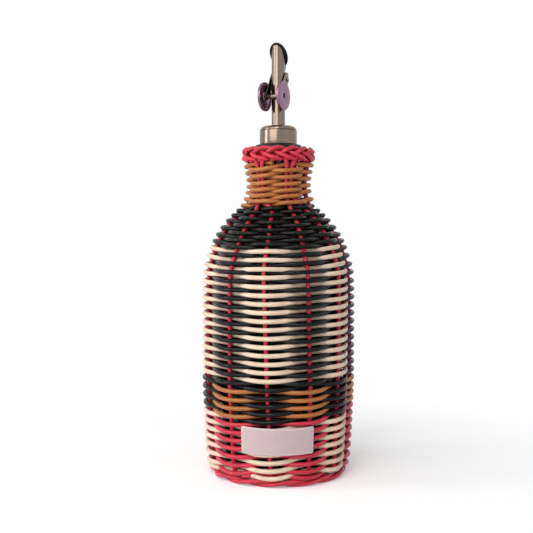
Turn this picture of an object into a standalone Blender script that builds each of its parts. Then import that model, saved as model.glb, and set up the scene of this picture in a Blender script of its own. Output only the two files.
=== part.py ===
"""Oil pourer: a dark glass bottle in a woven jacket, with a lift-out steel pourer whose weighted flap closes the spout.

Metres, +Z up. The origin is the centre of the foot on the table. The label is at the front, which is -Y, and an
angle round the bottle is counted from -Y and grows towards +X. The pourer is modelled with its pouring side at -Y
and then turned by POUR_TURN_DEG. Run it from a shell with: blender --background --python part.py
"""

import math

import bmesh
import bpy
from mathutils import Matrix, Vector
from mathutils.geometry import convex_hull_2d

# Clearance that touching pieces keep, and how far a cutter runs past what it cuts
CLEARANCE = 0.0003
OVERRUN = 0.0010

# Weave: round strands woven in front of and behind upright stakes
STRAND_DIAMETER = 0.0025
STAKE_DIAMETER = 0.0025
STAKE_DEGREES = (-9, 22, 54, 85, 113, 140, 168, 196, 224, 251, 278, 322)
PAIR_TWIST_DEG = -16.0
ROW_VALLEY_DEPTH = 0.0006
WEAVE_RECESS_share = 0.76
WEAVE_SWING_share = 0.7
WEAVE_STEPS = 4
JACKET_SEGMENTS = 32
NECK_SEGMENTS = 24

# Bands of the jacket from the table upwards: their heights, and how many pairs of rows each holds
FOOT_BORDER_HEIGHT = 0.0046
FOOT_BAND_HEIGHT = 0.0330
WAIST_BAND_HEIGHT = 0.0243
BODY_BAND_HEIGHT = 0.0816
SHOULDER_HEIGHT = 0.0250
NECK_HEIGHT = 0.0270
BRAID_HEIGHT = 0.0093
FOOT_PAIRS = 7
WAIST_PAIRS = 5
BODY_PAIRS = 16
SHOULDER_PAIRS = 6
NECK_PAIRS = 6

# Outer radii of the jacket at the ends of those bands, and the shares that shape the stretches between
FOOT_RADIUS = 0.0464
FOOT_TUCK = 0.0049
BODY_RADIUS = 0.0481
SHOULDER_RADIUS = 0.0430
NECK_FOOT_RADIUS = 0.0234
NECK_RADIUS = 0.0198
NECK_TOP_RADIUS = 0.0218
BRAID_RADIUS = 0.0228
FOOT_TUCK_shares = ((0.0, 0.57), (0.22, 0.90), (0.45, 1.0))
WAIST_LEAN_share = 0.5
BODY_STRAIGHT_share = 0.60
BODY_TURN_shares = ((0.81, 0.12), (0.875, 0.36), (1.0, 1.0))
SHOULDER_TURN_shares = ((0.30, 0.19), (0.60, 0.46), (0.82, 0.74), (1.0, 1.0))
NECK_IN_shares = ((0.13, 0.41), (0.24, 0.68), (0.50, 1.0))
NECK_OUT_shares = ((0.76, 0.60), (1.0, 1.0))
STAKES_GATHER_shares = (0.75, 0.24)
STAKE_LEAN_STEPS = 6

# Base: a woven disc inside the foot border
FOOT_BORDER_WIDTH = 0.0035
BASE_LIFT = 0.0010
BASE_EDGE_CHAMFER = 0.0005

# Glass bottle
GLASS_WALL = 0.0030
GLASS_BASE = 0.0045
GLASS_HEEL_RADIUS = 0.0050
PUNT_HEIGHT = 0.0030
PUNT_RADIUS = 0.0240
LIP_RADIUS = 0.0152
LIP_HEIGHT = 0.0070
LIP_RISE = 0.0015
LIP_ROUND = 0.0012
MOUTH_RADIUS = 0.00925
GLASS_SEGMENTS = 32

# Label: a bare curved patch on the foot band
LABEL_WIDTH = 0.0446
LABEL_HEIGHT = 0.0170
LABEL_CENTRE_HEIGHT = 0.0284
LABEL_CORNER = 0.0015
LABEL_THICKNESS = 0.0008

# Stopper of the pourer
POUR_TURN_DEG = -25.0
STOPPER_DEPTH = 0.0220
STOPPER_HEAD_HEIGHT = 0.0095
STOPPER_FINS = 5
FIN_DEPTH = 0.0008
FIN_shares = ((0.25, 0.0), (0.75, 1.0), (1.0, 0.0))
STOPPER_NOSE = 0.0015
POURER_SEGMENTS = 24

# Cap over the stopper's head
CAP_RADIUS = 0.01175
CAP_WALL = 0.0008
CAP_SKIRT_HEIGHT = 0.0085
CAP_GROOVE = 0.0004
CAP_DOME_HEIGHT = 0.0025
CAP_TOP_RADIUS = 0.0080

# Spout and its air tube
SPOUT_RADIUS = 0.00425
SPOUT_WALL = 0.0005
SPOUT_BELOW_STOPPER = 0.0010
SPOUT_TIP_ABOVE_CAP = 0.0498
SPOUT_CUT_DEG = 54.7
AIR_TUBE_RADIUS = 0.0010
AIR_TUBE_WALL = 0.0003
AIR_TUBE_BELOW_STOPPER = 0.0120
AIR_TUBE_WEB = 0.0004

# Flap: lid, lever, axle and the two weights. The pivot and the axle are measured from the spout's axis and its tip
PIVOT_BEHIND = 0.0024
PIVOT_BELOW_TIP = 0.0209
RIVET_RADIUS = 0.0007
RIVET_HEAD_RADIUS = 0.0012
RIVET_HEAD_THICKNESS = 0.0005
AXLE_AHEAD = 0.0065
AXLE_BELOW_TIP = 0.0319
AXLE_RADIUS = 0.0013
AXLE_RECESS = 0.0004
LEVER_THICKNESS = 0.0006
LEVER_EYE_RADIUS = 0.0022
LEVER_WEB_LIFT = 0.0016
LEVER_WEB_HEIGHT = 0.0028
LEVER_WEB_START_DEG = 8.0
LEVER_WEB_STEPS = 16
STRAP_HALF_WIDTH = 0.0020
LID_OVERHANG = 0.0011
LID_HALF_WIDTH = 0.0058
GASKET_THICKNESS = 0.0010
PLATE_THICKNESS = 0.0006
PLATE_MARGIN = 0.0005
WEIGHT_RADIUS = 0.0090
WEIGHT_THICKNESS = 0.0016
WEIGHT_CHAMFER = 0.0002
WEIGHT_SEGMENTS = 32

# Places worked out from the sizes above
FLOOR_RADIUS = FOOT_RADIUS - FOOT_TUCK
FOOT_TOP = FOOT_BORDER_HEIGHT + FOOT_BAND_HEIGHT
WAIST_TOP = FOOT_TOP + WAIST_BAND_HEIGHT
BODY_TOP = WAIST_TOP + BODY_BAND_HEIGHT
SHOULDER_TOP = BODY_TOP + SHOULDER_HEIGHT
NECK_TOP = SHOULDER_TOP + NECK_HEIGHT
BRAID_TOP = NECK_TOP + BRAID_HEIGHT
LIP_TOP = BRAID_TOP + LIP_RISE
STAKE_DEPTH = STRAND_DIAMETER + CLEARANCE + STAKE_DIAMETER / 2
JACKET_DEPTH = 2 * STRAND_DIAMETER + STAKE_DIAMETER + 2 * CLEARANCE
CAP_BOTTOM = LIP_TOP + CLEARANCE
CAP_TOP = CAP_BOTTOM + CAP_SKIRT_HEIGHT + CAP_GROOVE + CAP_DOME_HEIGHT
STOPPER_BOTTOM = LIP_TOP - STOPPER_DEPTH
SPOUT_BOTTOM = STOPPER_BOTTOM - SPOUT_BELOW_STOPPER
SPOUT_TIP = CAP_TOP + SPOUT_TIP_ABOVE_CAP
SPOUT_HOLE_RADIUS = SPOUT_RADIUS + CLEARANCE
AIR_HOLE_RADIUS = AIR_TUBE_RADIUS + CLEARANCE
AIR_TUBE_BEHIND = SPOUT_HOLE_RADIUS + AIR_TUBE_WEB + AIR_HOLE_RADIUS
CUT_SLOPE = math.tan(math.radians(SPOUT_CUT_DEG))
CUT_CENTRE = SPOUT_TIP - SPOUT_RADIUS * CUT_SLOPE
PIVOT = Vector((0, PIVOT_BEHIND, SPOUT_TIP - PIVOT_BELOW_TIP))
AXLE = Vector((0, -AXLE_AHEAD, SPOUT_TIP - AXLE_BELOW_TIP))
LEVER_INSIDE = SPOUT_RADIUS + CLEARANCE
LEVER_OUTSIDE = LEVER_INSIDE + LEVER_THICKNESS
WEIGHT_INSIDE = LEVER_OUTSIDE + CLEARANCE
WEIGHT_OUTSIDE = WEIGHT_INSIDE + WEIGHT_THICKNESS

# Finishes: colour, roughness, metallic
FINISHES = {
    "dark_glass": ((0.008, 0.016, 0.010, 1.0), 0.05, 0.0),
    "cream_strand": ((0.70, 0.56, 0.40, 1.0), 0.40, 0.0),
    "black_strand": ((0.012, 0.010, 0.010, 1.0), 0.30, 0.0),
    "tan_strand": ((0.50, 0.21, 0.07, 1.0), 0.40, 0.0),
    "red_strand": ((0.55, 0.02, 0.05, 1.0), 0.35, 0.0),
    "label_patch": ((0.66, 0.52, 0.50, 1.0), 0.55, 0.0),
    "steel": ((0.72, 0.70, 0.68, 1.0), 0.12, 1.0),
    "black_rubber": ((0.010, 0.010, 0.012, 1.0), 0.60, 0.0),
}


def clear_scene():
    for old in list(bpy.data.objects):
        bpy.data.objects.remove(old, do_unlink=True)


def finish_named(name):
    """The named finish as a Principled material, made the first time it is asked for."""
    material = bpy.data.materials.get(name)
    if material is None:
        colour, roughness, metallic = FINISHES[name]
        material = bpy.data.materials.new(name)
        material.use_nodes = True
        shader = material.node_tree.nodes["Principled BSDF"]
        shader.inputs["Base Color"].default_value = colour
        shader.inputs["Roughness"].default_value = roughness
        shader.inputs["Metallic"].default_value = metallic
    return material


def mix(start, end, share):
    return start + (end - start) * share


def round_position(radius, degrees, height):
    """A point round the bottle. The angle is counted from the front and grows to the right."""
    turn = math.radians(degrees)
    return Vector((radius * math.sin(turn), -radius * math.cos(turn), height))


def object_from(name, shape, finish, parent=None, smooth_deg=40.0):
    """Turns a bmesh into a named object with its faces pointing out and its finish."""
    bmesh.ops.recalc_face_normals(shape, faces=shape.faces)
    mesh = bpy.data.meshes.new(name)
    shape.to_mesh(mesh)
    shape.free()
    mesh.shade_smooth()
    mesh.set_sharp_from_angle(angle=math.radians(smooth_deg))
    mesh.materials.append(finish_named(finish))
    made = bpy.data.objects.new(name, mesh)
    bpy.context.scene.collection.objects.link(made)
    made.parent = parent
    return made


def turned(name, outline, segments, finish, parent=None):
    """A solid turned about +Z from a closed outline of (radius, height) points, up its outside and down its inside."""
    shape = bmesh.new()
    rings = []
    for radius, height in outline:
        if radius == 0:
            rings.append([shape.verts.new((0, 0, height))] * segments)
            continue
        turns = [math.tau * step / segments for step in range(segments)]
        rings.append([shape.verts.new((radius * math.cos(t), radius * math.sin(t), height)) for t in turns])
    for ring, above in zip(rings, rings[1:] + rings[:1]):
        for step in range(segments):
            after = (step + 1) % segments
            corners = list(dict.fromkeys([ring[step], ring[after], above[after], above[step]]))
            if len(corners) > 2:
                shape.faces.new(corners)
    return object_from(name, shape, finish, parent)


def prism(name, outline, thickness, finish, parent=None):
    """A flat outline of (y, z) points given thickness along X, centred on X = 0."""
    shape = bmesh.new()
    left = [shape.verts.new((-thickness / 2, y, z)) for y, z in outline]
    right = [shape.verts.new((thickness / 2, y, z)) for y, z in outline]
    shape.faces.new(left)
    shape.faces.new(list(reversed(right)))
    for step in range(len(outline)):
        after = (step + 1) % len(outline)
        shape.faces.new([left[step], right[step], right[after], left[after]])
    return object_from(name, shape, finish, parent)


def cylinder_along_x(name, radius, length, sides, finish, parent=None):
    return prism(name, circle_points(0, 0, radius, sides), length, finish, parent)


def circle_points(y, z, radius, count):
    turns = [math.tau * step / count for step in range(count)]
    return [(y + radius * math.cos(t), z + radius * math.sin(t)) for t in turns]


def hide_helper(helper):
    helper.hide_render = True
    helper.hide_set(True)
    helper.display_type = "WIRE"


def combine(target, helper, operation):
    """Joins a helper to the target, or cuts it away, with an exact Boolean."""
    modifier = target.modifiers.new(f"{operation.lower()} {helper.name}", "BOOLEAN")
    modifier.operation = operation
    modifier.solver = "EXACT"
    modifier.object = helper
    hide_helper(helper)


class JacketOutline:
    """The jacket's outer outline from the table to the braid, walked by its length."""

    STEPS = 400
    BEND_DEG = 7

    def __init__(self, stations):
        self.heights = [station[0] for station in stations]
        self.radii = [station[1] for station in stations]
        self.slopes = self.station_slopes()
        top = self.heights[-1]
        self.points = []
        for step in range(self.STEPS + 1):
            height = top * step / self.STEPS
            self.points.append((self.radius_at(height), height))
        self.lengths = [0]
        for (r0, z0), (r1, z1) in zip(self.points, self.points[1:]):
            self.lengths.append(self.lengths[-1] + math.hypot(r1 - r0, z1 - z0))

    def station_slopes(self):
        """Slopes that keep the curve from overshooting its stations."""
        gaps = list(zip(self.heights, self.heights[1:], self.radii, self.radii[1:]))
        chords = [(r1 - r0) / (z1 - z0) for z0, z1, r0, r1 in gaps]
        slopes = [chords[0]]
        for before, after in zip(chords, chords[1:]):
            slopes.append(2 * before * after / (before + after) if before * after > 0 else 0)
        return slopes + [chords[-1]]

    def radius_at(self, height):
        last = len(self.heights) - 2
        index = max(i for i in range(last + 1) if i == 0 or self.heights[i] <= height)
        span = self.heights[index + 1] - self.heights[index]
        t = min(max((height - self.heights[index]) / span, 0), 1)
        start, end = self.radii[index], self.radii[index + 1]
        lead, trail = self.slopes[index] * span, self.slopes[index + 1] * span
        ease = t * t * (3 - 2 * t)
        return mix(start, end, ease) + lead * t * (1 - t) ** 2 - trail * t * t * (1 - t)

    def length_at(self, height):
        index = min(max(int(height / self.heights[-1] * self.STEPS), 0), self.STEPS - 1)
        (_, z0), (_, z1) = self.points[index], self.points[index + 1]
        return mix(self.lengths[index], self.lengths[index + 1], (height - z0) / (z1 - z0))

    def bends(self):
        """Lengths where the outline has turned by BEND_DEG since the last one."""
        picked = []
        heading = 0
        for index in range(self.STEPS):
            (r0, z0), (r1, z1) = self.points[index], self.points[index + 1]
            direction = math.degrees(math.atan2(r1 - r0, z1 - z0))
            if abs(direction - heading) > self.BEND_DEG:
                picked.append(self.lengths[index])
                heading = direction
        return picked

    def walk(self, start, end):
        """Lengths from start to end, with one more at each bend. Pieces that lie on each other share the bends."""
        return [start] + [length for length in self.bends() if start < length < end] + [end]

    def point(self, length, depth=0):
        """(radius, height) at this length along the outline, moved inwards by depth, square to the outline."""
        index = max(i for i in range(self.STEPS) if i == 0 or self.lengths[i] <= length)
        (r0, z0), (r1, z1) = self.points[index], self.points[index + 1]
        span = self.lengths[index + 1] - self.lengths[index]
        share = (length - self.lengths[index]) / span
        outward_r, outward_z = (z1 - z0) / span, (r0 - r1) / span
        return mix(r0, r1, share) - depth * outward_r, mix(z0, z1, share) - depth * outward_z


def jacket_stations():
    """(height, radius) at the ends of the bands and where the outline turns between them."""
    stations = [(0, FLOOR_RADIUS)]
    for up, out in FOOT_TUCK_shares:
        height = FOOT_BORDER_HEIGHT + up * FOOT_BAND_HEIGHT
        stations.append((height, mix(FLOOR_RADIUS, FOOT_RADIUS, out)))
    stations.append((FOOT_TOP, mix(FOOT_RADIUS, BODY_RADIUS, WAIST_LEAN_share)))
    stations.append((WAIST_TOP, BODY_RADIUS))
    stations.append((mix(WAIST_TOP, BODY_TOP, BODY_STRAIGHT_share), BODY_RADIUS))
    for up, across in BODY_TURN_shares:
        stations.append((mix(WAIST_TOP, BODY_TOP, up), mix(BODY_RADIUS, SHOULDER_RADIUS, across)))
    for up, across in SHOULDER_TURN_shares:
        stations.append((mix(BODY_TOP, SHOULDER_TOP, up), mix(SHOULDER_RADIUS, NECK_FOOT_RADIUS, across)))
    for up, across in NECK_IN_shares:
        stations.append((mix(SHOULDER_TOP, NECK_TOP, up), mix(NECK_FOOT_RADIUS, NECK_RADIUS, across)))
    for up, across in NECK_OUT_shares:
        stations.append((mix(SHOULDER_TOP, NECK_TOP, up), mix(NECK_RADIUS, NECK_TOP_RADIUS, across)))
    return stations


def make_band(name, jacket, bottom, top, pairs, finish, segments=JACKET_SEGMENTS):
    """One band of weave: a shell one strand thick, with a ridge for each pair of rows."""
    start = jacket.length_at(bottom) + CLEARANCE / 2
    end = jacket.length_at(top) - CLEARANCE / 2
    outside = []
    for step in range(2 * pairs + 1):
        depth = ROW_VALLEY_DEPTH if step % 2 == 0 else 0
        outside.append(jacket.point(mix(start, end, step / (2 * pairs)), depth))
    inside = [jacket.point(length, STRAND_DIAMETER) for length in jacket.walk(start, end)]
    return turned(name, outside + list(reversed(inside)), segments, finish)


def row_depth(step, index, between, climbed):
    """How deep the weave lies at this step of a pair of rows: at a stake, or midway between it and the next."""
    swing = (1 - climbed) * WEAVE_SWING_share * (JACKET_DEPTH - STRAND_DIAMETER) / 2
    recess = WEAVE_RECESS_share * STRAND_DIAMETER
    if between:
        first, second = swing, swing
    elif index % 2 == 0:
        first, second = 0, recess
    else:
        first, second = recess, 0
    if step % WEAVE_STEPS == 0:
        return second
    if step % WEAVE_STEPS == WEAVE_STEPS // 2:
        return first
    return (first + second) / 2 + ROW_VALLEY_DEPTH


def make_woven_band(name, jacket, bottom, top, pairs, finish):
    """One band of weave: a shell one strand thick, whose rows stand out in front of one stake and lie back at the next."""
    start = jacket.length_at(bottom) + CLEARANCE / 2
    end = jacket.length_at(top) - CLEARANCE / 2
    steps = WEAVE_STEPS * pairs
    shape = bmesh.new()
    columns = []
    for column in range(2 * len(STAKE_DEGREES)):
        index, between = divmod(column, 2)
        places = []
        for step in range(steps + 1):
            length = mix(start, end, step / steps)
            places.append((length, row_depth(step, index, between, share_climbed(jacket, length))))
        for length in reversed(stake_lengths(jacket, start, end)):
            places.append((length, STRAND_DIAMETER + row_depth(0, 1, between, share_climbed(jacket, length))))
        points = []
        for length, depth in places:
            azimuth = stake_azimuth(jacket, index, length)
            if between:
                after = stake_azimuth(jacket, index + 1, length)
                azimuth = (azimuth + after) / 2
            radius, height = jacket.point(length, depth)
            points.append(shape.verts.new(round_position(radius, azimuth, height)))
        columns.append(points)
    for points, following in zip(columns, columns[1:] + columns[:1]):
        for step in range(len(points)):
            after = (step + 1) % len(points)
            shape.faces.new([points[step], following[step], following[after], points[after]])
    return object_from(name, shape, finish)


def make_jacket(jacket):
    make_woven_band("foot_weave", jacket, FOOT_BORDER_HEIGHT, FOOT_TOP, FOOT_PAIRS, "cream_strand")
    make_woven_band("waist_weave", jacket, FOOT_TOP, WAIST_TOP, WAIST_PAIRS, "tan_strand")
    make_woven_band("body_weave", jacket, WAIST_TOP, BODY_TOP, BODY_PAIRS, "cream_strand")
    make_woven_band("shoulder_weave", jacket, BODY_TOP, SHOULDER_TOP, SHOULDER_PAIRS, "black_strand")
    make_band("neck_weave", jacket, SHOULDER_TOP, NECK_TOP, NECK_PAIRS, "tan_strand", NECK_SEGMENTS)


def make_foot_border(jacket):
    """The twisted border round the base. Its flat underside is what the bottle stands on."""
    top = FOOT_BORDER_HEIGHT - CLEARANCE
    outside = [(jacket.radius_at(top * step / 4), top * step / 4) for step in range(5)]
    inner_radius = outside[0][0] - FOOT_BORDER_WIDTH
    inside = [(inner_radius + BASE_LIFT, top), (inner_radius, top - BASE_LIFT), (inner_radius, 0)]
    turned("foot_border", outside + inside, JACKET_SEGMENTS, "red_strand")
    return inner_radius


def make_base(border_inner_radius):
    """The woven disc that the glass stands on, held off the table by the foot border."""
    radius = border_inner_radius - CLEARANCE
    top = FOOT_BORDER_HEIGHT - CLEARANCE
    outline = [
        (0, BASE_LIFT),
        (radius - BASE_EDGE_CHAMFER, BASE_LIFT),
        (radius, BASE_LIFT + BASE_EDGE_CHAMFER),
        (radius, top - BASE_EDGE_CHAMFER),
        (radius - BASE_EDGE_CHAMFER, top),
        (0, top),
    ]
    turned("base_weave", outline, JACKET_SEGMENTS, "cream_strand")


def make_braided_border():
    """The plaited border round the mouth, as a ring with rounded shoulders."""
    bottom = NECK_TOP + CLEARANCE / 2
    inner_radius = LIP_RADIUS + CLEARANCE
    centre_radius, half_width = (BRAID_RADIUS + inner_radius) / 2, (BRAID_RADIUS - inner_radius) / 2
    centre_height, half_height = (BRAID_TOP + bottom) / 2, (BRAID_TOP - bottom) / 2
    section = []
    for step in range(12):
        turn = math.tau * step / 12
        across, up = math.cos(turn), math.sin(turn)
        radius = centre_radius + half_width * math.copysign(math.sqrt(abs(across)), across)
        section.append((radius, centre_height + half_height * math.copysign(math.sqrt(abs(up)), up)))
    turned("braided_border", section, NECK_SEGMENTS, "red_strand")


def stake_degrees(index, climbed):
    """Where this stake stands. Over the shoulder neighbours gather in pairs, and the pairs lean round the neck."""
    upright = STAKE_DEGREES[index]
    side = 1 if index % 2 == 0 else -1
    neighbour = STAKE_DEGREES[(index - side) % len(STAKE_DEGREES)]
    apart = (neighbour - upright + 180) % 360 - 180
    pair_middle = upright + apart / 2 + PAIR_TWIST_DEG
    neck_stake_radius = NECK_RADIUS - STAKE_DEPTH
    half_gap = math.degrees((STAKE_DIAMETER + CLEARANCE) / 2 / neck_stake_radius)
    return mix(upright, pair_middle + side * half_gap, climbed)


def gather_lengths(jacket):
    """Where up the jacket the stakes start to gather in pairs, and where they are gathered."""
    gather = jacket.length_at(mix(BODY_TOP, SHOULDER_TOP, STAKES_GATHER_shares[0]))
    gathered = jacket.length_at(mix(SHOULDER_TOP, NECK_TOP, STAKES_GATHER_shares[1]))
    return gather, gathered


def share_climbed(jacket, length):
    """From 0 where the stakes start to gather to 1 where they are gathered."""
    gather, gathered = gather_lengths(jacket)
    climbed = min(max((length - gather) / (gathered - gather), 0), 1)
    return climbed * climbed * (3 - 2 * climbed)


def stake_azimuth(jacket, index, length):
    """Where a stake stands at this length; an index past the last stake starts the next turn."""
    turns, place = divmod(index, len(STAKE_DEGREES))
    return stake_degrees(place, share_climbed(jacket, length)) + 360 * turns


def stake_lengths(jacket, start, end):
    """Lengths at which a stake bends, between start and end."""
    gather, gathered = gather_lengths(jacket)
    leaning = [mix(gather, gathered, step / STAKE_LEAN_STEPS) for step in range(STAKE_LEAN_STEPS + 1)]
    bends = [length for length in jacket.bends() if not gather < length < gathered]
    return [start] + sorted(length for length in leaning + bends if start < length < end) + [end]


def make_stakes(jacket):
    """The upright stakes, between the rows of weave and the glass."""
    start = jacket.length_at(FOOT_BORDER_HEIGHT) + STAKE_DIAMETER / 2
    end = jacket.length_at(NECK_TOP) - 2 * CLEARANCE
    lengths = stake_lengths(jacket, start, end)
    for index in range(len(STAKE_DEGREES)):
        curve = bpy.data.curves.new(f"stake_{index + 1:02d}", "CURVE")
        curve.dimensions = "3D"
        curve.bevel_depth = STAKE_DIAMETER / 2
        curve.bevel_resolution = 1
        curve.use_fill_caps = True
        curve.materials.append(finish_named("red_strand"))
        spline = curve.splines.new("POLY")
        spline.points.add(len(lengths) - 1)
        for point, length in zip(spline.points, lengths):
            radius, height = jacket.point(length, STAKE_DEPTH)
            point.co = round_position(radius, stake_azimuth(jacket, index, length), height).to_4d()
        stake = bpy.data.objects.new(curve.name, curve)
        bpy.context.scene.collection.objects.link(stake)


def make_glass(jacket):
    """The bottle: it fills the jacket up to the neck, and its lip stands inside the braid."""
    bottom = FOOT_BORDER_HEIGHT
    start = jacket.length_at(bottom + GLASS_HEEL_RADIUS)
    waist = jacket.length_at(mix(SHOULDER_TOP, NECK_TOP, NECK_IN_shares[-1][0]))
    shoulder = jacket.length_at(SHOULDER_TOP)
    outer = [jacket.point(length, JACKET_DEPTH) for length in jacket.walk(start, waist)]
    neck_radius = outer[-1][0]
    heel_radius = outer[0][0] - GLASS_HEEL_RADIUS
    base = [(0, bottom + PUNT_HEIGHT), (PUNT_RADIUS, bottom + PUNT_HEIGHT / 2), (heel_radius, bottom)]
    for step in (1, 2):
        turn = math.radians(30 * step)
        heel_height = outer[0][1] - bottom
        base.append((heel_radius + GLASS_HEEL_RADIUS * math.sin(turn), bottom + heel_height * (1 - math.cos(turn))))
    lip_bottom = LIP_TOP - LIP_HEIGHT
    lip = [
        (neck_radius, lip_bottom - LIP_ROUND),
        (LIP_RADIUS, lip_bottom),
        (LIP_RADIUS, LIP_TOP - LIP_ROUND),
        (LIP_RADIUS - LIP_ROUND, LIP_TOP),
        (MOUTH_RADIUS, LIP_TOP),
    ]
    bore_bottom = SPOUT_BOTTOM - STOPPER_NOSE
    inner_start = start + GLASS_BASE
    inner = [jacket.point(length, JACKET_DEPTH + GLASS_WALL) for length in jacket.walk(inner_start, shoulder)]
    inner.append((MOUTH_RADIUS, bore_bottom))
    floor_height = bottom + PUNT_HEIGHT + GLASS_BASE
    floor = [(inner[0][0] - GLASS_HEEL_RADIUS / 2, bottom + GLASS_BASE), (PUNT_RADIUS / 2, floor_height), (0, floor_height)]
    outline = base + outer + lip + list(reversed(inner)) + floor
    turned("glass_bottle", outline, GLASS_SEGMENTS, "dark_glass")


def make_label(jacket):
    """A bare patch with small round corners, curved to lie on the foot band."""
    half_width, half_height = LABEL_WIDTH / 2, LABEL_HEIGHT / 2
    radius = jacket.radius_at(LABEL_CENTRE_HEIGHT) + CLEARANCE
    straight = half_width - LABEL_CORNER
    corner = [straight + LABEL_CORNER * math.sin(math.radians(30 * step)) for step in range(4)]
    across = [mix(-straight, straight, step / 12) for step in range(1, 12)]
    places = [-place for place in reversed(corner)] + across + corner
    shape = bmesh.new()
    columns = []
    for place in places:
        past = max(abs(place) - straight, 0)
        rounding = LABEL_CORNER - math.sqrt(max(LABEL_CORNER**2 - past**2, 0))
        reach = half_height - rounding
        column = []
        for step in range(5):
            height = LABEL_CENTRE_HEIGHT + mix(-reach, reach, step / 4)
            on_weave = jacket.radius_at(height) + CLEARANCE
            column.append(shape.verts.new(round_position(on_weave, math.degrees(place / radius), height)))
        columns.append(column)
    for column, following in zip(columns, columns[1:]):
        for step in range(4):
            shape.faces.new([column[step], following[step], following[step + 1], column[step + 1]])
    label = object_from("label_patch", shape, "label_patch")
    thickness = label.modifiers.new("thickness", "SOLIDIFY")
    thickness.thickness = LABEL_THICKNESS
    thickness.offset = 1
    if label.data.polygons[0].normal.y > 0:
        thickness.offset = -1


def make_stopper(parent):
    """The finned plug: its fins fill the mouth, and its head fills the cap and rests on the lip."""
    fin_radius = MOUTH_RADIUS - CLEARANCE
    root_radius = fin_radius - FIN_DEPTH
    head_radius = CAP_RADIUS - CAP_WALL - CLEARANCE
    outline = [(SPOUT_HOLE_RADIUS, STOPPER_BOTTOM), (root_radius - STOPPER_NOSE, STOPPER_BOTTOM)]
    outline.append((root_radius, STOPPER_BOTTOM + STOPPER_NOSE))
    pitch = (STOPPER_DEPTH - STOPPER_NOSE) / (STOPPER_FINS + 1)
    for fin in range(STOPPER_FINS):
        for up, out in FIN_shares:
            height = STOPPER_BOTTOM + STOPPER_NOSE + pitch * (fin + up)
            outline.append((mix(root_radius, fin_radius, out), height))
    outline.append((root_radius, CAP_BOTTOM))
    outline.append((head_radius, CAP_BOTTOM))
    outline.append((head_radius, CAP_BOTTOM + STOPPER_HEAD_HEIGHT))
    outline.append((SPOUT_HOLE_RADIUS, CAP_BOTTOM + STOPPER_HEAD_HEIGHT))
    stopper = turned("stopper", outline, POURER_SEGMENTS, "black_rubber", parent)
    combine(stopper, air_hole("stopper_air_hole", STOPPER_BOTTOM, CAP_TOP, parent), "DIFFERENCE")


def air_hole(name, bottom, top, parent):
    """A cutter for the air tube's hole, behind the spout."""
    outline = [(0, bottom - OVERRUN), (AIR_HOLE_RADIUS, bottom - OVERRUN), (AIR_HOLE_RADIUS, top + OVERRUN), (0, top + OVERRUN)]
    hole = turned(name, outline, POURER_SEGMENTS // 2, "black_rubber", parent)
    hole.location = (0, AIR_TUBE_BEHIND, 0)
    return hole


def make_cap(parent):
    """The steel cap: a skirt, a groove and a domed top with a hole for the spout and one for the air tube."""
    skirt_top = CAP_BOTTOM + CAP_SKIRT_HEIGHT
    dome_bottom = skirt_top + CAP_GROOVE
    inner_radius = CAP_RADIUS - CAP_WALL
    groove_radius = CAP_RADIUS - CAP_GROOVE
    ceiling = CAP_BOTTOM + STOPPER_HEAD_HEIGHT + CLEARANCE
    outline = [(CAP_RADIUS, CAP_BOTTOM), (CAP_RADIUS, skirt_top), (groove_radius, skirt_top + CAP_GROOVE / 2)]
    for step in range(6):
        turn = math.radians(18 * step)
        dome_radius = mix(CAP_TOP_RADIUS, groove_radius, math.cos(turn))
        outline.append((dome_radius, dome_bottom + CAP_DOME_HEIGHT * math.sin(turn)))
    outline.append((SPOUT_HOLE_RADIUS, CAP_TOP))
    outline.append((SPOUT_HOLE_RADIUS, ceiling))
    outline.append((inner_radius, ceiling))
    outline.append((inner_radius, CAP_BOTTOM))
    cap = turned("pourer_cap", outline, POURER_SEGMENTS, "steel", parent)
    combine(cap, air_hole("cap_air_hole", CAP_BOTTOM, CAP_TOP, parent), "DIFFERENCE")


def make_spout(parent):
    """The spout: a straight tube whose mouth is cut on a slope, longest at the pouring side."""
    shape = bmesh.new()
    rings = []
    inner_radius = SPOUT_RADIUS - SPOUT_WALL
    for radius, at_mouth in ((SPOUT_RADIUS, False), (SPOUT_RADIUS, True), (inner_radius, True), (inner_radius, False)):
        ring = []
        for step in range(POURER_SEGMENTS):
            turn = math.tau * step / POURER_SEGMENTS
            x, y = radius * math.cos(turn), radius * math.sin(turn)
            ring.append(shape.verts.new((x, y, CUT_CENTRE - CUT_SLOPE * y if at_mouth else SPOUT_BOTTOM)))
        rings.append(ring)
    for ring, above in zip(rings, rings[1:] + rings[:1]):
        for step in range(POURER_SEGMENTS):
            after = (step + 1) % POURER_SEGMENTS
            shape.faces.new([ring[step], ring[after], above[after], above[step]])
    object_from("spout_tube", shape, "steel", parent)


def make_air_tube(parent):
    """The thin tube that lets air into the bottle while oil runs out."""
    bottom = STOPPER_BOTTOM - AIR_TUBE_BELOW_STOPPER
    inner_radius = AIR_TUBE_RADIUS - AIR_TUBE_WALL
    outline = [(inner_radius, bottom), (AIR_TUBE_RADIUS, bottom), (AIR_TUBE_RADIUS, CAP_TOP), (inner_radius, CAP_TOP)]
    tube = turned("air_tube", outline, POURER_SEGMENTS // 2, "steel", parent)
    tube.location = (0, AIR_TUBE_BEHIND, 0)


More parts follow.
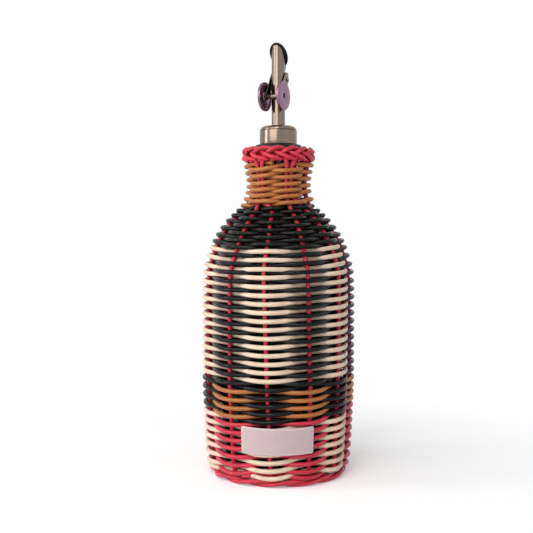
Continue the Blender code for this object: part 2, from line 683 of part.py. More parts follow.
def make_rivets(parent):
    """The two rivets that the flap's lever turns on, one each side of the spout."""
    reach = WEIGHT_INSIDE + RIVET_HEAD_THICKNESS
    for side, name in ((-1, "hinge_rivet_left"), (1, "hinge_rivet_right")):
        shank = cylinder_along_x(name, RIVET_RADIUS, reach, 16, "steel", parent)
        shank.location = (side * reach / 2, PIVOT.y, PIVOT.z)
        head = cylinder_along_x(f"{name}_head", RIVET_HEAD_RADIUS, RIVET_HEAD_THICKNESS, 16, "steel", parent)
        head.location = (side * (WEIGHT_INSIDE + RIVET_HEAD_THICKNESS / 2), PIVOT.y, PIVOT.z)
        combine(shank, head, "UNION")
        outline = [(0, PIVOT.z - OVERRUN), (SPOUT_HOLE_RADIUS, PIVOT.z - OVERRUN)]
        outline += [(SPOUT_HOLE_RADIUS, PIVOT.z + OVERRUN), (0, PIVOT.z + OVERRUN)]
        saddle = turned(f"{name}_saddle", outline, POURER_SEGMENTS, "steel", parent)
        combine(shank, saddle, "DIFFERENCE")


def lid_point(along, out):
    """(y, z) in the flap's own frame: along the cut from its centre, up the slope, and out from it."""
    slope = math.radians(SPOUT_CUT_DEG)
    y = -along * math.cos(slope) + out * math.sin(slope)
    z = along * math.sin(slope) + out * math.cos(slope)
    return y - PIVOT.y, CUT_CENTRE + z - PIVOT.z


def make_lid_disc(name, margin, inside, thickness, finish, flap):
    """An oval disc that lies over the cut end of the spout."""
    half_length = SPOUT_RADIUS / math.cos(math.radians(SPOUT_CUT_DEG)) + LID_OVERHANG - margin
    half_width = LID_HALF_WIDTH - margin
    shape = bmesh.new()
    rings = []
    for out in (0, thickness):
        turns = [math.tau * step / POURER_SEGMENTS for step in range(POURER_SEGMENTS)]
        rings.append([shape.verts.new((half_width * math.cos(t), half_length * math.sin(t), out)) for t in turns])
    shape.faces.new(rings[0])
    shape.faces.new(rings[1])
    for step in range(POURER_SEGMENTS):
        after = (step + 1) % POURER_SEGMENTS
        shape.faces.new([rings[0][step], rings[0][after], rings[1][after], rings[1][step]])
    disc = object_from(name, shape, finish, flap)
    y, z = lid_point(0, inside)
    disc.location = (0, y, z)
    disc.rotation_euler = (-math.radians(SPOUT_CUT_DEG), 0, 0)
    return disc


def make_lid(flap):
    """The soft gasket and the steel plate that backs it."""
    make_lid_disc("lid_gasket", 0, CLEARANCE, GASKET_THICKNESS, "black_rubber", flap)
    inside = 2 * CLEARANCE + GASKET_THICKNESS
    make_lid_disc("lid_plate", PLATE_MARGIN, inside, PLATE_THICKNESS, "steel", flap)


def make_lever(flap):
    """The stamped lever: an arm each side of the spout, a web round its back and a strap up to the lid."""
    axle_y, axle_z = AXLE.y - PIVOT.y, AXLE.z - PIVOT.z
    web_top = LEVER_WEB_LIFT + LEVER_WEB_HEIGHT
    sample = circle_points(axle_y, axle_z, LEVER_EYE_RADIUS, 16) + circle_points(0, 0, LEVER_EYE_RADIUS, 16)
    sample += [(-LEVER_EYE_RADIUS, web_top), (LEVER_EYE_RADIUS / 2, web_top)]
    arm_outline = [sample[index] for index in convex_hull_2d(sample)]
    arms = []
    for side, name in ((-1, "lid_lever"), (1, "lid_lever_right_arm")):
        arm = prism(name, arm_outline, LEVER_THICKNESS, "steel", flap)
        arm.data.transform(Matrix.Translation((side * (LEVER_INSIDE + LEVER_THICKNESS / 2), 0, 0)))
        arms.append(arm)
    lever = arms[0]
    combine(lever, arms[1], "UNION")
    combine(lever, lever_web(flap), "UNION")
    combine(lever, lever_strap(flap), "UNION")
    for name, y, z, radius in (
        ("lever_pivot_hole", 0, 0, RIVET_RADIUS + CLEARANCE),
        ("lever_axle_hole", axle_y, axle_z, AXLE_RADIUS + CLEARANCE),
    ):
        hole = cylinder_along_x(name, radius, 2 * (LEVER_OUTSIDE + OVERRUN), 16, "steel", flap)
        hole.location = (0, y, z)
        combine(lever, hole, "DIFFERENCE")


def lever_web(flap):
    """The web bends round the back of the spout, from one arm to the other."""
    shape = bmesh.new()
    columns = []
    for step in range(LEVER_WEB_STEPS + 1):
        turn = math.radians(mix(LEVER_WEB_START_DEG, 180 - LEVER_WEB_START_DEG, step / LEVER_WEB_STEPS))
        column = []
        for radius, height in (
            (LEVER_INSIDE, LEVER_WEB_LIFT),
            (LEVER_OUTSIDE, LEVER_WEB_LIFT),
            (LEVER_OUTSIDE, LEVER_WEB_LIFT + LEVER_WEB_HEIGHT),
            (LEVER_INSIDE, LEVER_WEB_LIFT + LEVER_WEB_HEIGHT),
        ):
            place = (radius * math.cos(turn), radius * math.sin(turn) - PIVOT.y, height)
            column.append(shape.verts.new(place))
        columns.append(column)
    shape.faces.new(columns[0])
    shape.faces.new(columns[-1])
    for column, following in zip(columns, columns[1:]):
        for step in range(4):
            after = (step + 1) % 4
            shape.faces.new([column[step], column[after], following[after], following[step]])
    return object_from("lid_lever_web", shape, "steel", flap)


def lever_strap(flap):
    """The strap leaves the web, passes behind the lid's lower edge and lies on its plate."""
    half_length = SPOUT_RADIUS / math.cos(math.radians(SPOUT_CUT_DEG)) + LID_OVERHANG
    on_plate = 3 * CLEARANCE + GASKET_THICKNESS + PLATE_THICKNESS
    inner = [
        (LEVER_INSIDE - PIVOT.y, LEVER_WEB_LIFT + LEVER_WEB_HEIGHT / 2),
        (LEVER_INSIDE - PIVOT.y, LEVER_WEB_LIFT + LEVER_WEB_HEIGHT),
        lid_point(-half_length - CLEARANCE, on_plate),
        lid_point(0, on_plate),
    ]
    outer = [
        (LEVER_OUTSIDE - PIVOT.y, LEVER_WEB_LIFT + LEVER_WEB_HEIGHT / 2),
        (LEVER_OUTSIDE - PIVOT.y, LEVER_WEB_LIFT + LEVER_WEB_HEIGHT),
        lid_point(-half_length - CLEARANCE, on_plate + LEVER_THICKNESS),
        lid_point(0, on_plate + LEVER_THICKNESS),
    ]
    return prism("lid_lever_strap", inner + list(reversed(outer)), 2 * STRAP_HALF_WIDTH, "steel", flap)


def make_weights(flap):
    """The axle ahead of the spout and the two steel discs that weigh the flap shut."""
    y, z = AXLE.y - PIVOT.y, AXLE.z - PIVOT.z
    axle = cylinder_along_x("weight_axle", AXLE_RADIUS, 2 * (WEIGHT_OUTSIDE - AXLE_RECESS), 16, "steel", flap)
    axle.location = (0, y, z)
    hole_radius = AXLE_RADIUS + CLEARANCE
    half = WEIGHT_THICKNESS / 2
    outline = [
        (hole_radius, -half),
        (WEIGHT_RADIUS - WEIGHT_CHAMFER, -half),
        (WEIGHT_RADIUS, WEIGHT_CHAMFER - half),
        (WEIGHT_RADIUS, half - WEIGHT_CHAMFER),
        (WEIGHT_RADIUS - WEIGHT_CHAMFER, half),
        (hole_radius, half),
    ]
    for side, name in ((-1, "weight_left"), (1, "weight_right")):
        weight = turned(name, outline, WEIGHT_SEGMENTS, "steel", flap)
        weight.location = (side * (WEIGHT_INSIDE + half), y, z)
        weight.rotation_euler = (0, math.radians(90), 0)


def make_pourer():
    """The lift-out pourer, modelled with its pouring side at -Y, then turned as it stands in the bottle."""
    pourer = bpy.data.objects.new("pourer_turn", None)
    pourer.rotation_euler = (0, 0, math.radians(POUR_TURN_DEG))
    bpy.context.scene.collection.objects.link(pourer)
    flap = bpy.data.objects.new("flap_pivot", None)
    flap.location = PIVOT
    flap.parent = pourer
    bpy.context.scene.collection.objects.link(flap)
    make_stopper(pourer)
    make_cap(pourer)
    make_spout(pourer)
    make_air_tube(pourer)
    make_rivets(pourer)
    make_lid(flap)
    make_lever(flap)
    make_weights(flap)


def main():
    clear_scene()
    jacket = JacketOutline(jacket_stations())
    make_glass(jacket)
    make_stakes(jacket)
    make_jacket(jacket)
    make_base(make_foot_border(jacket))
    make_braided_border()
    make_label(jacket)
    make_pourer()


main()
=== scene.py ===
"""Looks for the woven oil pourer: a glass bottle in a woven jacket, and a steel pourer with a weighted flap.

Lengths in the tables below are millimetres unless a comment says metres, and a piece is turned to metres as
it is made. Azimuths run round the bottle in degrees: 0 is its front, and they grow towards its right.
"""
import math

import bmesh
import bpy
import numpy as np
from bpy.props import FloatProperty, FloatVectorProperty, PointerProperty
from mathutils import Matrix, Vector
from mathutils.geometry import convex_hull_2d


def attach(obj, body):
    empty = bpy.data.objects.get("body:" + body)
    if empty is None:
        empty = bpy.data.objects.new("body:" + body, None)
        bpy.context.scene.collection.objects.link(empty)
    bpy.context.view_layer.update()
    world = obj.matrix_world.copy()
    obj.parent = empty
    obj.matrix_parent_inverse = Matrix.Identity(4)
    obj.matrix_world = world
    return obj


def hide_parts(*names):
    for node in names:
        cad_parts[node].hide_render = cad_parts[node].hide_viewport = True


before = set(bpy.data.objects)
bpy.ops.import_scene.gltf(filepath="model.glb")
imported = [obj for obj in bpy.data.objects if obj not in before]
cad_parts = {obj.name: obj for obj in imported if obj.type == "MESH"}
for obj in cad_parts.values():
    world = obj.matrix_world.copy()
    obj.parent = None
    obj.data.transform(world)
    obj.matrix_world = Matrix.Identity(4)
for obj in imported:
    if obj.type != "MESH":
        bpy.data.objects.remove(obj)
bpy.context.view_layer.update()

bl_info = {
    "name": "Woven oil pourer",
    "version": (1, 0, 0),
    "blender": (4, 5, 0),
    "location": "3D View > Sidebar > Oil Pourer",
    "description": "Makes the glass bottle, its woven jacket and its steel pourer over the packed frame",
    "category": "Add Mesh",
}

MM = 0.001

# The jacket's outer outline: height above the table and outer radius
JACKET_OUTLINE = (
    (0, 41.50), (4.60, 44.29), (11.86, 45.91), (19.45, 46.40), (37.60, 47.25), (61.90, 48.10),
    (110.86, 48.10), (128.00, 47.49), (133.30, 46.26), (143.50, 43.00), (151.00, 39.28), (158.50, 33.98),
    (164.00, 28.70), (168.50, 24.00), (172.01, 22.60), (174.98, 21.50), (182.00, 20.60), (189.02, 21.55),
    (195.50, 22.90),
)
OUTLINE_STEPS = 800
NECK_TOP = 195.5

# Stakes: where they stand round the foot and body, and how they gather in leaning pairs up the shoulder
STAKE_DEGREES = (-9, 22, 54, 85, 113, 140, 168, 196, 224, 251, 278, 322)
STAKE_DEPTH, STAKE_FOOT = 4.05, 4.2
# Front stakes that stray from upright, by these degrees at these heights
DRIFT_HEIGHTS = (8, 60, 130, 150)
STAKE_DRIFTS = {
    0: (3.0, 0.5, -2.4, 0), 1: (3.9, 3.6, 1.4, 0), 2: (0.5, 0.9, 2.9, 0), 11: (-1.5, -3.0, -3.0, 0),
}
GATHER_HEIGHTS = (166.0, 177.0)
# Their tops lean apart and outwards into the braid: degrees for a pair's right stake and its left one
TOP_LEANS, LEAN_START, STAKE_TOP, TOP_FLARE, TOP_STEPS = (12, -7), 190.0, 199.5, 1.2, 8
PAIR_TWIST_DEGREES = -16
PAIR_HALF_GAP_DEGREES = 5.09

# Heights of the first cord where it crosses the front stake, one for each turn from the table to the braid
TURN_HEIGHTS = (
    2.4, 5.6, 10.7, 15.7, 20.8, 25.7, 30.5, 35.2, 40.3, 44.9, 49.6, 54.4, 59.4, 64.5, 69.5, 74.5, 79.6,
    84.6, 89.7, 94.8, 99.8, 104.9, 109.9, 115.0, 120.1, 125.6, 130.9, 136.3, 141.5, 146.1, 150.7, 155.5,
    160.2, 164.6, 168.4, 171.6, 174.9, 178.4, 182.2, 186.3, 190.3, 194.6, 199.0,
)
SECOND_CORD_LAG = 0.47
# A cord lies lower where it passes in front of a stake, and more so where the shoulder leans by these slopes
FRONT_DIP, SHOULDER_DIP, SHOULDER_SLOPES = 0.3, 2.0, (0.3, 0.8)
# The rows lie this much higher at the sides and back than in front, fading in and out at these heights
ROW_SAG, SAG_FADES = 3.0, ((4, 20), (156, 170))
# The foot's rows tilt up to the right by this much, fading out up the waist
FOOT_TILT, TILT_FADE = 1.6, (40, 60)
NECK_TURN, WANDER_TURNS = 33.525, 1.5
LOWEST_ROW, HIGHEST_ROW = 5.4, 194.2
# How far the neck's rows wander up from an even climb: azimuth and rise
NECK_WANDER = ((-100, 1.2), (-40, 0.0), (20, 0.8), (80, 2.0), (140, 1.9), (200, 1.6), (260, 1.2), (320, 0.0))

# Bands of the two cords: piece, cord (0 first, 1 second), first and last turn, colour, what it replaces
BANDS = (
    ("foot_cream_rows", 0, -0.475, 6.92, "cream", "foot_weave"),
    ("foot_red_rows", 1, -0.06, 7.525, "red", "foot_weave"),
    ("waist_black_rows", 0, 6.92, 11.525, "black", "waist_weave"),
    ("waist_tan_rows", 1, 7.525, 11.525, "tan", "waist_weave"),
    ("body_cream_rows", 0, 11.525, 27.525, "cream", "body_weave"),
    ("body_black_rows", 1, 11.525, 27.525, "black", "body_weave"),
    ("shoulder_front_rows", 0, 27.525, 33.525, "black", "shoulder_weave"),
    ("shoulder_back_rows", 1, 27.525, 33.525, "black", "shoulder_weave"),
    ("neck_front_rows", 0, 33.525, 39.41, "tan", "neck_weave"),
    ("neck_back_rows", 1, 33.525, 39.995, "tan", "neck_weave"),
)
# Braid: (share of a strand's run, radius, height), and the hidden, wavy cords that it is plaited over
BRAID_PATH = (
    (0, 18.6, 195.4), (0.08, 18.8, 197.1), (0.16, 18.9, 199.2), (0.26, 21.8, 201.4), (0.33, 21.3, 202.8),
    (0.42, 20.0, 203.5), (0.5, 19.2, 202.9), (0.58, 19.0, 201.6), (0.64, 19.8, 200.5),
    (0.71, 21.7, 199.3), (0.85, 21.9, 197.3), (0.95, 20.6, 196.5), (1, 19.2, 196.3),
)
BRAID_STRANDS, BRAID_REACH_DEGREES, BRAID_FIRST_PEAK, BRAID_PEAK_SHARE = 14, 96, 1.2, 0.42
BRAID_CORE, CORE_WAVES, CORE_WAVE = ((17.1, 196.9), (16.9, 199.4), (17.1, 201.6)), 6, 0.3
BRAID_POINTS, SOFTENED_POINTS = 81, 5
CORE_POINTS, STAKE_POINTS, POINTS_PER_TURN = 120, 121, 168
CORD_SIDES = 10

# Each colour of cord: its darker streaks, how strongly it shines, and how rough it is where least and most
CORD_LOOKS = {
    "cream": ("#b79479", 0.3, (0.26, 0.42)), "black": ("#0c0a09", 0.17, (0.18, 0.3)),
    "tan": ("#824a27", 0.3, (0.26, 0.42)), "red": ("#8c1226", 0.3, (0.26, 0.42)),
}

# Twisted border round the foot: its middle height, how far a cord tucks in behind the other, and its twists
BORDER_MIDDLE, BORDER_TUCK, BORDER_TWISTS, BORDER_POINTS = 2.45, 1.3, 6, 480

# Base: a cord coiled in and out of spokes
BASE_MIDDLE, BASE_SPOKES, BASE_TURNS, BASE_POINTS = 2.75, 11, 13, 120
COIL_INSIDE, COIL_OUTSIDE, COIL_WAVE, COIL_THICKNESS = 3.2, 36.4, 0.75, 1.9
SPOKE_INSIDE, SPOKE_OUTSIDE, SPOKE_THICKNESS, SPOKE_POINTS, SPOKE_SIDES = 1, 38.4, 1.2, 9, 8

# Glass bottle, one closed outline of radius and height from the middle of its base
BOTTLE_OUTLINE = (
    (0, 7.6), (24.0, 6.1), (32.62, 4.6), (35.12, 5.47), (36.95, 7.84), (37.62, 11.08), (39.99, 60.18),
    (39.42, 127.4), (39.12, 128.79), (35.26, 141.05), (32.54, 146.48), (29.22, 151.47), (26.59, 154.61),
    (22.13, 158.77), (18.01, 162.28), (15.75, 165.62), (13.69, 170.97), (12.24, 176.91), (11.7, 182.06),
    (11.7, 198.1), (15.2, 199.3), (15.2, 205.1), (14.0, 206.3), (9.25, 206.3), (9.25, 181.8),
    (14.22, 162.28), (15.76, 160.3), (20.3, 156.4), (24.45, 152.5), (26.84, 149.64), (29.94, 144.97),
    (32.49, 139.88), (36.24, 127.98), (36.99, 60.2), (35.03, 14.87), (32.53, 9.1), (12.0, 12.1),
    (0, 12.1),
)

# Label plate
LABEL_SIZE = (43.8, 16.2)
LABEL_CENTRE, LABEL_CORNER, LABEL_THICKNESS, LABEL_GAP = 29.0, 0.8, 0.8, 0.3
LABEL_AZIMUTH, LABEL_BOW, LABEL_COLUMNS, LABEL_ROWS = -0.6, 0.8, 72, 30
# Its pressed line: how far in from the edge, how deep and how wide. Its edge is rounded down and in.
PRESSED_EDGE, PRESSED_DEPTH, PRESSED_WIDTH, ROUND_DOWN, ROUND_IN = 0.75, 0.15, 0.2, 0.3, 0.45
# Its underside is rounded by this share of that, and is given as this far from the line, so none shows on it
UNDER_ROUNDING, UNDER_LINE = 0.5, 9

# Pourer, drawn with its pouring side at the front and then turned
POUR_TURN_DEGREES = -25
STOPPER_BOTTOM, CAP_BOTTOM, CAP_TOP = 184.3, 206.6, 218.0
CAP_RADIUS, CAP_INSIDE, CAP_GROOVE_RADIUS, CAP_FLAT_RADIUS = 11.75, 10.95, 11.35, 8.0
SKIRT_TOP, DOME_BOTTOM, CAP_CEILING = 215.1, 215.5, 216.4
MOUTH_FIN_RADIUS, STOPPER_ROOT_RADIUS, STOPPER_HEAD_RADIUS = 8.95, 8.15, 10.65
STOPPER_NOSE, STOPPER_FINS, FIN_SHAPE = 1.5, 5, ((0.25, 0), (0.6, 0.9), (0.75, 1), (0.85, 0.9), (1, 0))
SPOUT_HOLE, SPOUT_RADIUS, SPOUT_WALL, SPOUT_BOTTOM = 4.55, 4.25, 0.5, 183.3
CUT_DEGREES, CUT_CENTRE = 54.7, 261.798
AIR_TUBE_RADIUS, AIR_TUBE_WALL, AIR_TUBE_BEHIND, AIR_TUBE_BOTTOM = 1.0, 0.3, 6.25, 172.3
PIVOT, AXLE = (2.4, 246.9), (-6.5, 235.9)
LEVER_INSIDE, LEVER_OUTSIDE, EYE_RADIUS, PIVOT_HOLE, AXLE_HOLE = 4.55, 5.15, 2.2, 1.0, 1.6
WEB_LIFT, WEB_HEIGHT, WEB_START_DEGREES, STRAP_HALF_WIDTH = 1.6, 2.8, 8, 2.0
LID_HALF_WIDTH, LID_OVERHANG, LID_GAP = 5.8, 1.1, 0.3
LID_HALF_LENGTH = SPOUT_RADIUS / math.cos(math.radians(CUT_DEGREES)) + LID_OVERHANG
GASKET_THICKNESS, PLATE_THICKNESS, PLATE_MARGIN = 1.0, 0.6, 0.5
WEIGHT_INSIDE, WEIGHT_THICKNESS, WEIGHT_RADIUS = 5.45, 1.6, 9.0
# The ring turned out of each disc's outer face: inner and outer radius, and depth
WEIGHT_RECESS = (3.0, 7.2, 0.6)
# A mauve reflection painted into their steel's colour, and how much of it is in that colour
WEIGHT_REFLECTED_MAUVE, REFLECTED_MAUVE_SHARE = "#8f6a88", 0.8
AXLE_RADIUS, AXLE_RECESS, AXLE_END = 1.3, 0.4, 1.0
RIVET_RADIUS, RIVET_HEAD_RADIUS, RIVET_HEAD, RIVET_RIM = 0.7, 1.2, 0.5, 0.1
# Polishing lines of the steel: their spacing, and how many times longer than that they run
POLISH_LINES, POLISH_STRETCH = 0.3, 60
# How far corners are rounded, and the bend of the lever's strap
GLASS_ROUND, STOPPER_ROUND, CAP_ROUND, SPOUT_ROUND, AIR_TUBE_ROUND = 0.9, 0.3, 0.18, 0.12, 0.1
GASKET_ROUND, PLATE_ROUND, DISC_ROUND, AXLE_END_ROUND, PIN_ROUND = 0.3, 0.2, 0.3, 0.2, 0.1
LEVER_ROUND, STRAP_BEND = 0.1, 1.6
# Decimals that the lever's outline is kept to
LEVER_DIGITS = 5
# Gaps that the stopper keeps from the cap: under its head's ceiling, and above its last fin
CEILING_GAP, LAST_FIN_GAP = 0.3, 0.3
# A corner whose turn has a cosine above this stays as it is. Rounding takes at most this share of a side,
# in a curve at these shares of its length.
NEARLY_STRAIGHT, MOST_OF_SIDE, ROUNDING_SHARES = 0.97, 0.45, (0, 0.33, 0.67, 1)
SHARP_DEGREES = 38
# Facets round turned pieces, and steps over the cap's dome, a rivet's head and the lever's web
TURNED_FACETS, FINE_FACETS, LID_FACETS, ROD_FACETS, SMALL_FACETS = 96, 128, 72, 48, 32
DOME_STEPS, RIVET_STEPS, WEB_STEPS = 12, 5, 48

# Floor: half its width, how far it lies under the bottle, its lift, and in metres where it fades to white
FLOOR_HALF, FLOOR_DROP, FLOOR_LIFT, FLOOR_FADE = 4000, 0.1, 0.27, (0.05, 0.3)
# Lamps: width, height and place in metres, all aimed at the bottle's middle
LAMPS = {
    "key": (1.0, 0.95, (-0.62, -0.98, 0.60)),
    "top": (0.32, 0.2, (-0.12, -0.75, 1.02)),
    "side": (0.35, 0.9, (-1.15, -0.2, 0.45)),
    "fill": (0.7, 1.0, (0.95, -0.7, 0.4)),
}
LAMP_AIM = (0, 0, 0.13)
# Camera: lens and sensor width in millimetres, degrees it looks down, and the photograph's turn, in radians
LENS, SENSOR, LOOK_DOWN, CAMERA_TURN = 63.64, 36, 2.58, 0.0125


def mix(start, end, share):
    return start + (end - start) * share


def ease(share):
    """0 to 1 with a soft start and end."""
    share = min(max(share, 0), 1)
    return share * share * (3 - 2 * share)


def linear(code):
    """An sRGB hex colour as linear red, green, blue and alpha."""
    channels = [int(code[place:place + 2], 16) / 255 for place in (1, 3, 5)]
    return [c / 12.92 if c <= 0.04045 else ((c + 0.055) / 1.055) ** 2.4 for c in channels] + [1.0]


WHITE = linear("#ffffff")
COLOUR = {"subtype": "COLOR", "size": 4, "min": 0.0, "max": 1.0}
LENGTH = {"subtype": "DISTANCE", "unit": "LENGTH", "precision": 4}
THICKNESS = {"min": 0.001, "max": 0.004, **LENGTH}
POWER = {"min": 0, "unit": "POWER"}


class CordProperties(bpy.types.PropertyGroup):
    """Thicknesses and colours of the cords that the jacket is woven from."""
    first_thickness: FloatProperty(
        name="First cord", description="Thickness of the cord that passes in front of the front stake",
        default=0.0028, **THICKNESS)
    second_thickness: FloatProperty(
        name="Second cord", description="Thickness of the cord that passes behind the front stake",
        default=0.0026, **THICKNESS)
    stake_thickness: FloatProperty(
        name="Stake", description="Thickness of the upright stakes", default=0.0026, **THICKNESS)
    braid_thickness: FloatProperty(
        name="Braid strand", description="Thickness of the strands plaited round the mouth",
        default=0.0025, **THICKNESS)
    border_thickness: FloatProperty(
        name="Foot border cord", description="Thickness of the two cords twisted round the foot",
        default=0.0026, **THICKNESS)
    cream: FloatVectorProperty(
        name="Cream", description="Cord of the body and foot", default=linear("#f2dcc6"), **COLOUR)
    black: FloatVectorProperty(
        name="Black", description="Cord of the shoulder, the waist and between the cream rows",
        default=linear("#100c0b"), **COLOUR)
    tan: FloatVectorProperty(
        name="Tan", description="Cord of the neck and the waist", default=linear("#be763c"), **COLOUR)
    red: FloatVectorProperty(
        name="Red", description="Stakes, borders and foot", default=linear("#dc374e"), **COLOUR)


class BottleProperties(bpy.types.PropertyGroup):
    """Colours of the bottle and its label."""
    glass: FloatVectorProperty(
        name="Glass", description="Dark green glass", default=linear("#0c140f"), **COLOUR)
    leather: FloatVectorProperty(
        name="Leather", description="Face of the label plate", default=linear("#c9b3b0"), **COLOUR)
    # Colour of a painted highlight along the label's pressed line
    pressed_line_highlight: FloatVectorProperty(
        name="Pressed edge", description="Line round the label", default=linear("#e4d6d1"), **COLOUR)


class PourerProperties(bpy.types.PropertyGroup):
    """Colours of the pourer."""
    # The steel's own colour, made darker and browner as a painted dark and brown reflection
    steel: FloatVectorProperty(
        name="Steel", description="Polished steel", default=linear("#87776b"), **COLOUR)
    rubber: FloatVectorProperty(
        name="Silicone", description="Stopper and lid gasket", default=linear("#0f0c0e"), **COLOUR)


class StageProperties(bpy.types.PropertyGroup):
    """The floor, the lamps and the camera."""
    floor: FloatVectorProperty(name="Floor", description="Painted board", default=linear("#f4f4f4"), **COLOUR)
    key_watts: FloatProperty(
        name="Key lamp", description="Power of the large lamp at the front left", default=8.5, **POWER)
    top_watts: FloatProperty(
        name="Top lamp", description="Power of the small lamp above the front", default=2.4, **POWER)
    side_watts: FloatProperty(
        name="Side lamp", description="Power of the narrow lamp at the left", default=4.5, **POWER)
    fill_watts: FloatProperty(
        name="Fill lamp", description="Power of the dim lamp at the front right", default=0.25, **POWER)
    sky: FloatProperty(
        name="Room light", description="Strength of the even light from all round",
        default=0.42, min=0, max=1, subtype="FACTOR")
    camera_distance: FloatProperty(
        name="Camera distance", description="From the bottle's axis to the lens",
        default=0.5946, min=0.3, max=3, **LENGTH)
    camera_height: FloatProperty(
        name="Camera height", description="Of the lens above the table",
        default=0.1567, min=0, max=2, **LENGTH)


def per_mm(size):
    """Texture cells to a metre for marks of this many millimetres."""
    return 1000 / size


def scaled(colour, share):
    """The colour with its red, green and blue times this share."""
    return [channel * share for channel in colour[:3]] + [1.0]


def add_node(tree, kind, inputs=(), **settings):
    """A shader node with its inputs set or linked; a node as an input stands for its first live output."""
    node = tree.nodes.new("ShaderNode" + kind)
    for name, value in settings.items():
        setattr(node, name, value)
    for socket, value in dict(inputs).items():
        if isinstance(value, bpy.types.Node):
            value = next(output for output in value.outputs if output.enabled)
        if isinstance(value, bpy.types.NodeSocket):
            tree.links.new(value, node.inputs[socket])
        else:
            node.inputs[socket].default_value = value
    return node


def new_finish(name):
    """An empty material, its node tree and the place on the piece in metres."""
    finish = bpy.data.materials.new(name)
    finish.use_nodes = True
    tree = finish.node_tree
    tree.nodes.clear()
    return finish, tree, add_node(tree, "TexCoord").outputs["Object"]


def surface(finish, **inputs):
    """The finish with its shader added; underscores in the names stand for spaces."""
    named = {name.replace("_", " "): value for name, value in inputs.items()}
    shader = add_node(finish.node_tree, "BsdfPrincipled", named)
    add_node(finish.node_tree, "OutputMaterial", {"Surface": shader})
    return finish


def cord_finish(name, colour, shade, shine, gloss):
    """Extruded polyethylene cord: smooth and waxy, with a soft highlight along it and faint drawn streaks.

    The streaks are really about 0.1 mm wide; they are drawn 0.4 mm wide so that they show.
    """
    finish, tree, place = new_finish(f"extruded_polyethylene_{name}")
    run = add_node(tree, "UVMap", uv_map="cord_run")
    drawn = add_node(tree, "Mapping", {"Vector": run, "Scale": (per_mm(9), per_mm(0.4), 1)})
    streaks = add_node(tree, "TexNoise", {"Vector": drawn, "Scale": 1.0, "Detail": 3.0, "Roughness": 0.6})
    patches = add_node(tree, "TexNoise", {"Vector": place, "Scale": per_mm(9), "Detail": 2.0})
    blotches = add_node(tree, "MapRange", {"Value": patches, "From Min": 0.3, "From Max": 0.62})
    dark = [mix(c, s, 0.35) for c, s in zip(colour, shade)]
    patched = add_node(tree, "Mix", {0: blotches, 6: dark, 7: colour}, data_type="RGBA")
    lines = add_node(tree, "MapRange", {"Value": streaks, "From Min": 0.64, "From Max": 0.38, "To Max": 0.4})
    toned = add_node(tree, "Mix", {0: lines, 6: patched, 7: shade}, data_type="RGBA")
    blur = add_node(tree, "MapRange", {"Value": streaks, "To Min": gloss[0], "To Max": gloss[1]})
    relief = add_node(tree, "Bump", {"Strength": 0.3, "Distance": 0.00005, "Height": streaks})
    return surface(
        finish, Base_Color=toned, Roughness=blur, Normal=relief, IOR=1.51, Specular_IOR_Level=shine)


def glass_finish(colour):
    """Blown soda-lime glass, deep green: almost black where thick, with sharp highlights and slight waves."""
    finish, tree, place = new_finish("blown_soda_lime_glass")
    waves = add_node(tree, "TexNoise", {"Vector": place, "Scale": per_mm(14), "Detail": 1.0})
    relief = add_node(tree, "Bump", {"Strength": 0.2, "Distance": 0.0004, "Height": waves})
    depth = add_node(tree, "Mix", {0: waves, 6: scaled(colour, 0.55), 7: colour}, data_type="RGBA")
    return surface(
        finish, Base_Color=depth, Roughness=0.06, Normal=relief, IOR=1.52, Specular_IOR_Level=0.12,
        Transmission_Weight=0.3)


def leather_finish(colour, line_highlight_colour):
    """Smooth full-grain leather, dyed pale: fine pores, a soft sheen and a pressed edge line with a painted
    highlight along it.

    The pores are really about 0.3 mm apart; they are drawn 0.45 mm apart so that they show.
    """
    finish, tree, place = new_finish("full_grain_leather_pressed")
    grain = add_node(tree, "TexVoronoi", {"Vector": place, "Scale": per_mm(0.45)}, feature="DISTANCE_TO_EDGE")
    cloud = add_node(tree, "TexNoise", {"Vector": place, "Scale": per_mm(5), "Detail": 4.0})
    split = add_node(tree, "SeparateXYZ", {0: add_node(tree, "UVMap", uv_map="label_face")})
    # Within a fraction of a millimetre of the pressed line the colour turns lighter: a painted highlight
    edge = add_node(tree, "MapRange", {"Value": split, "From Min": 0.0004, "From Max": 0.0001, "To Max": 0.7})
    toned = add_node(tree, "Mix", {0: cloud, 6: scaled(colour, 0.86), 7: colour}, data_type="RGBA")
    with_line_highlight = add_node(tree, "Mix", {0: edge, 6: toned, 7: line_highlight_colour}, data_type="RGBA")
    relief = add_node(tree, "Bump", {"Strength": 0.25, "Distance": 0.00008, "Height": grain})
    gloss = add_node(tree, "MapRange", {"Value": cloud, "To Min": 0.42, "To Max": 0.6})
    return surface(finish, Base_Color=with_line_highlight, Roughness=gloss, Normal=relief, IOR=1.5)


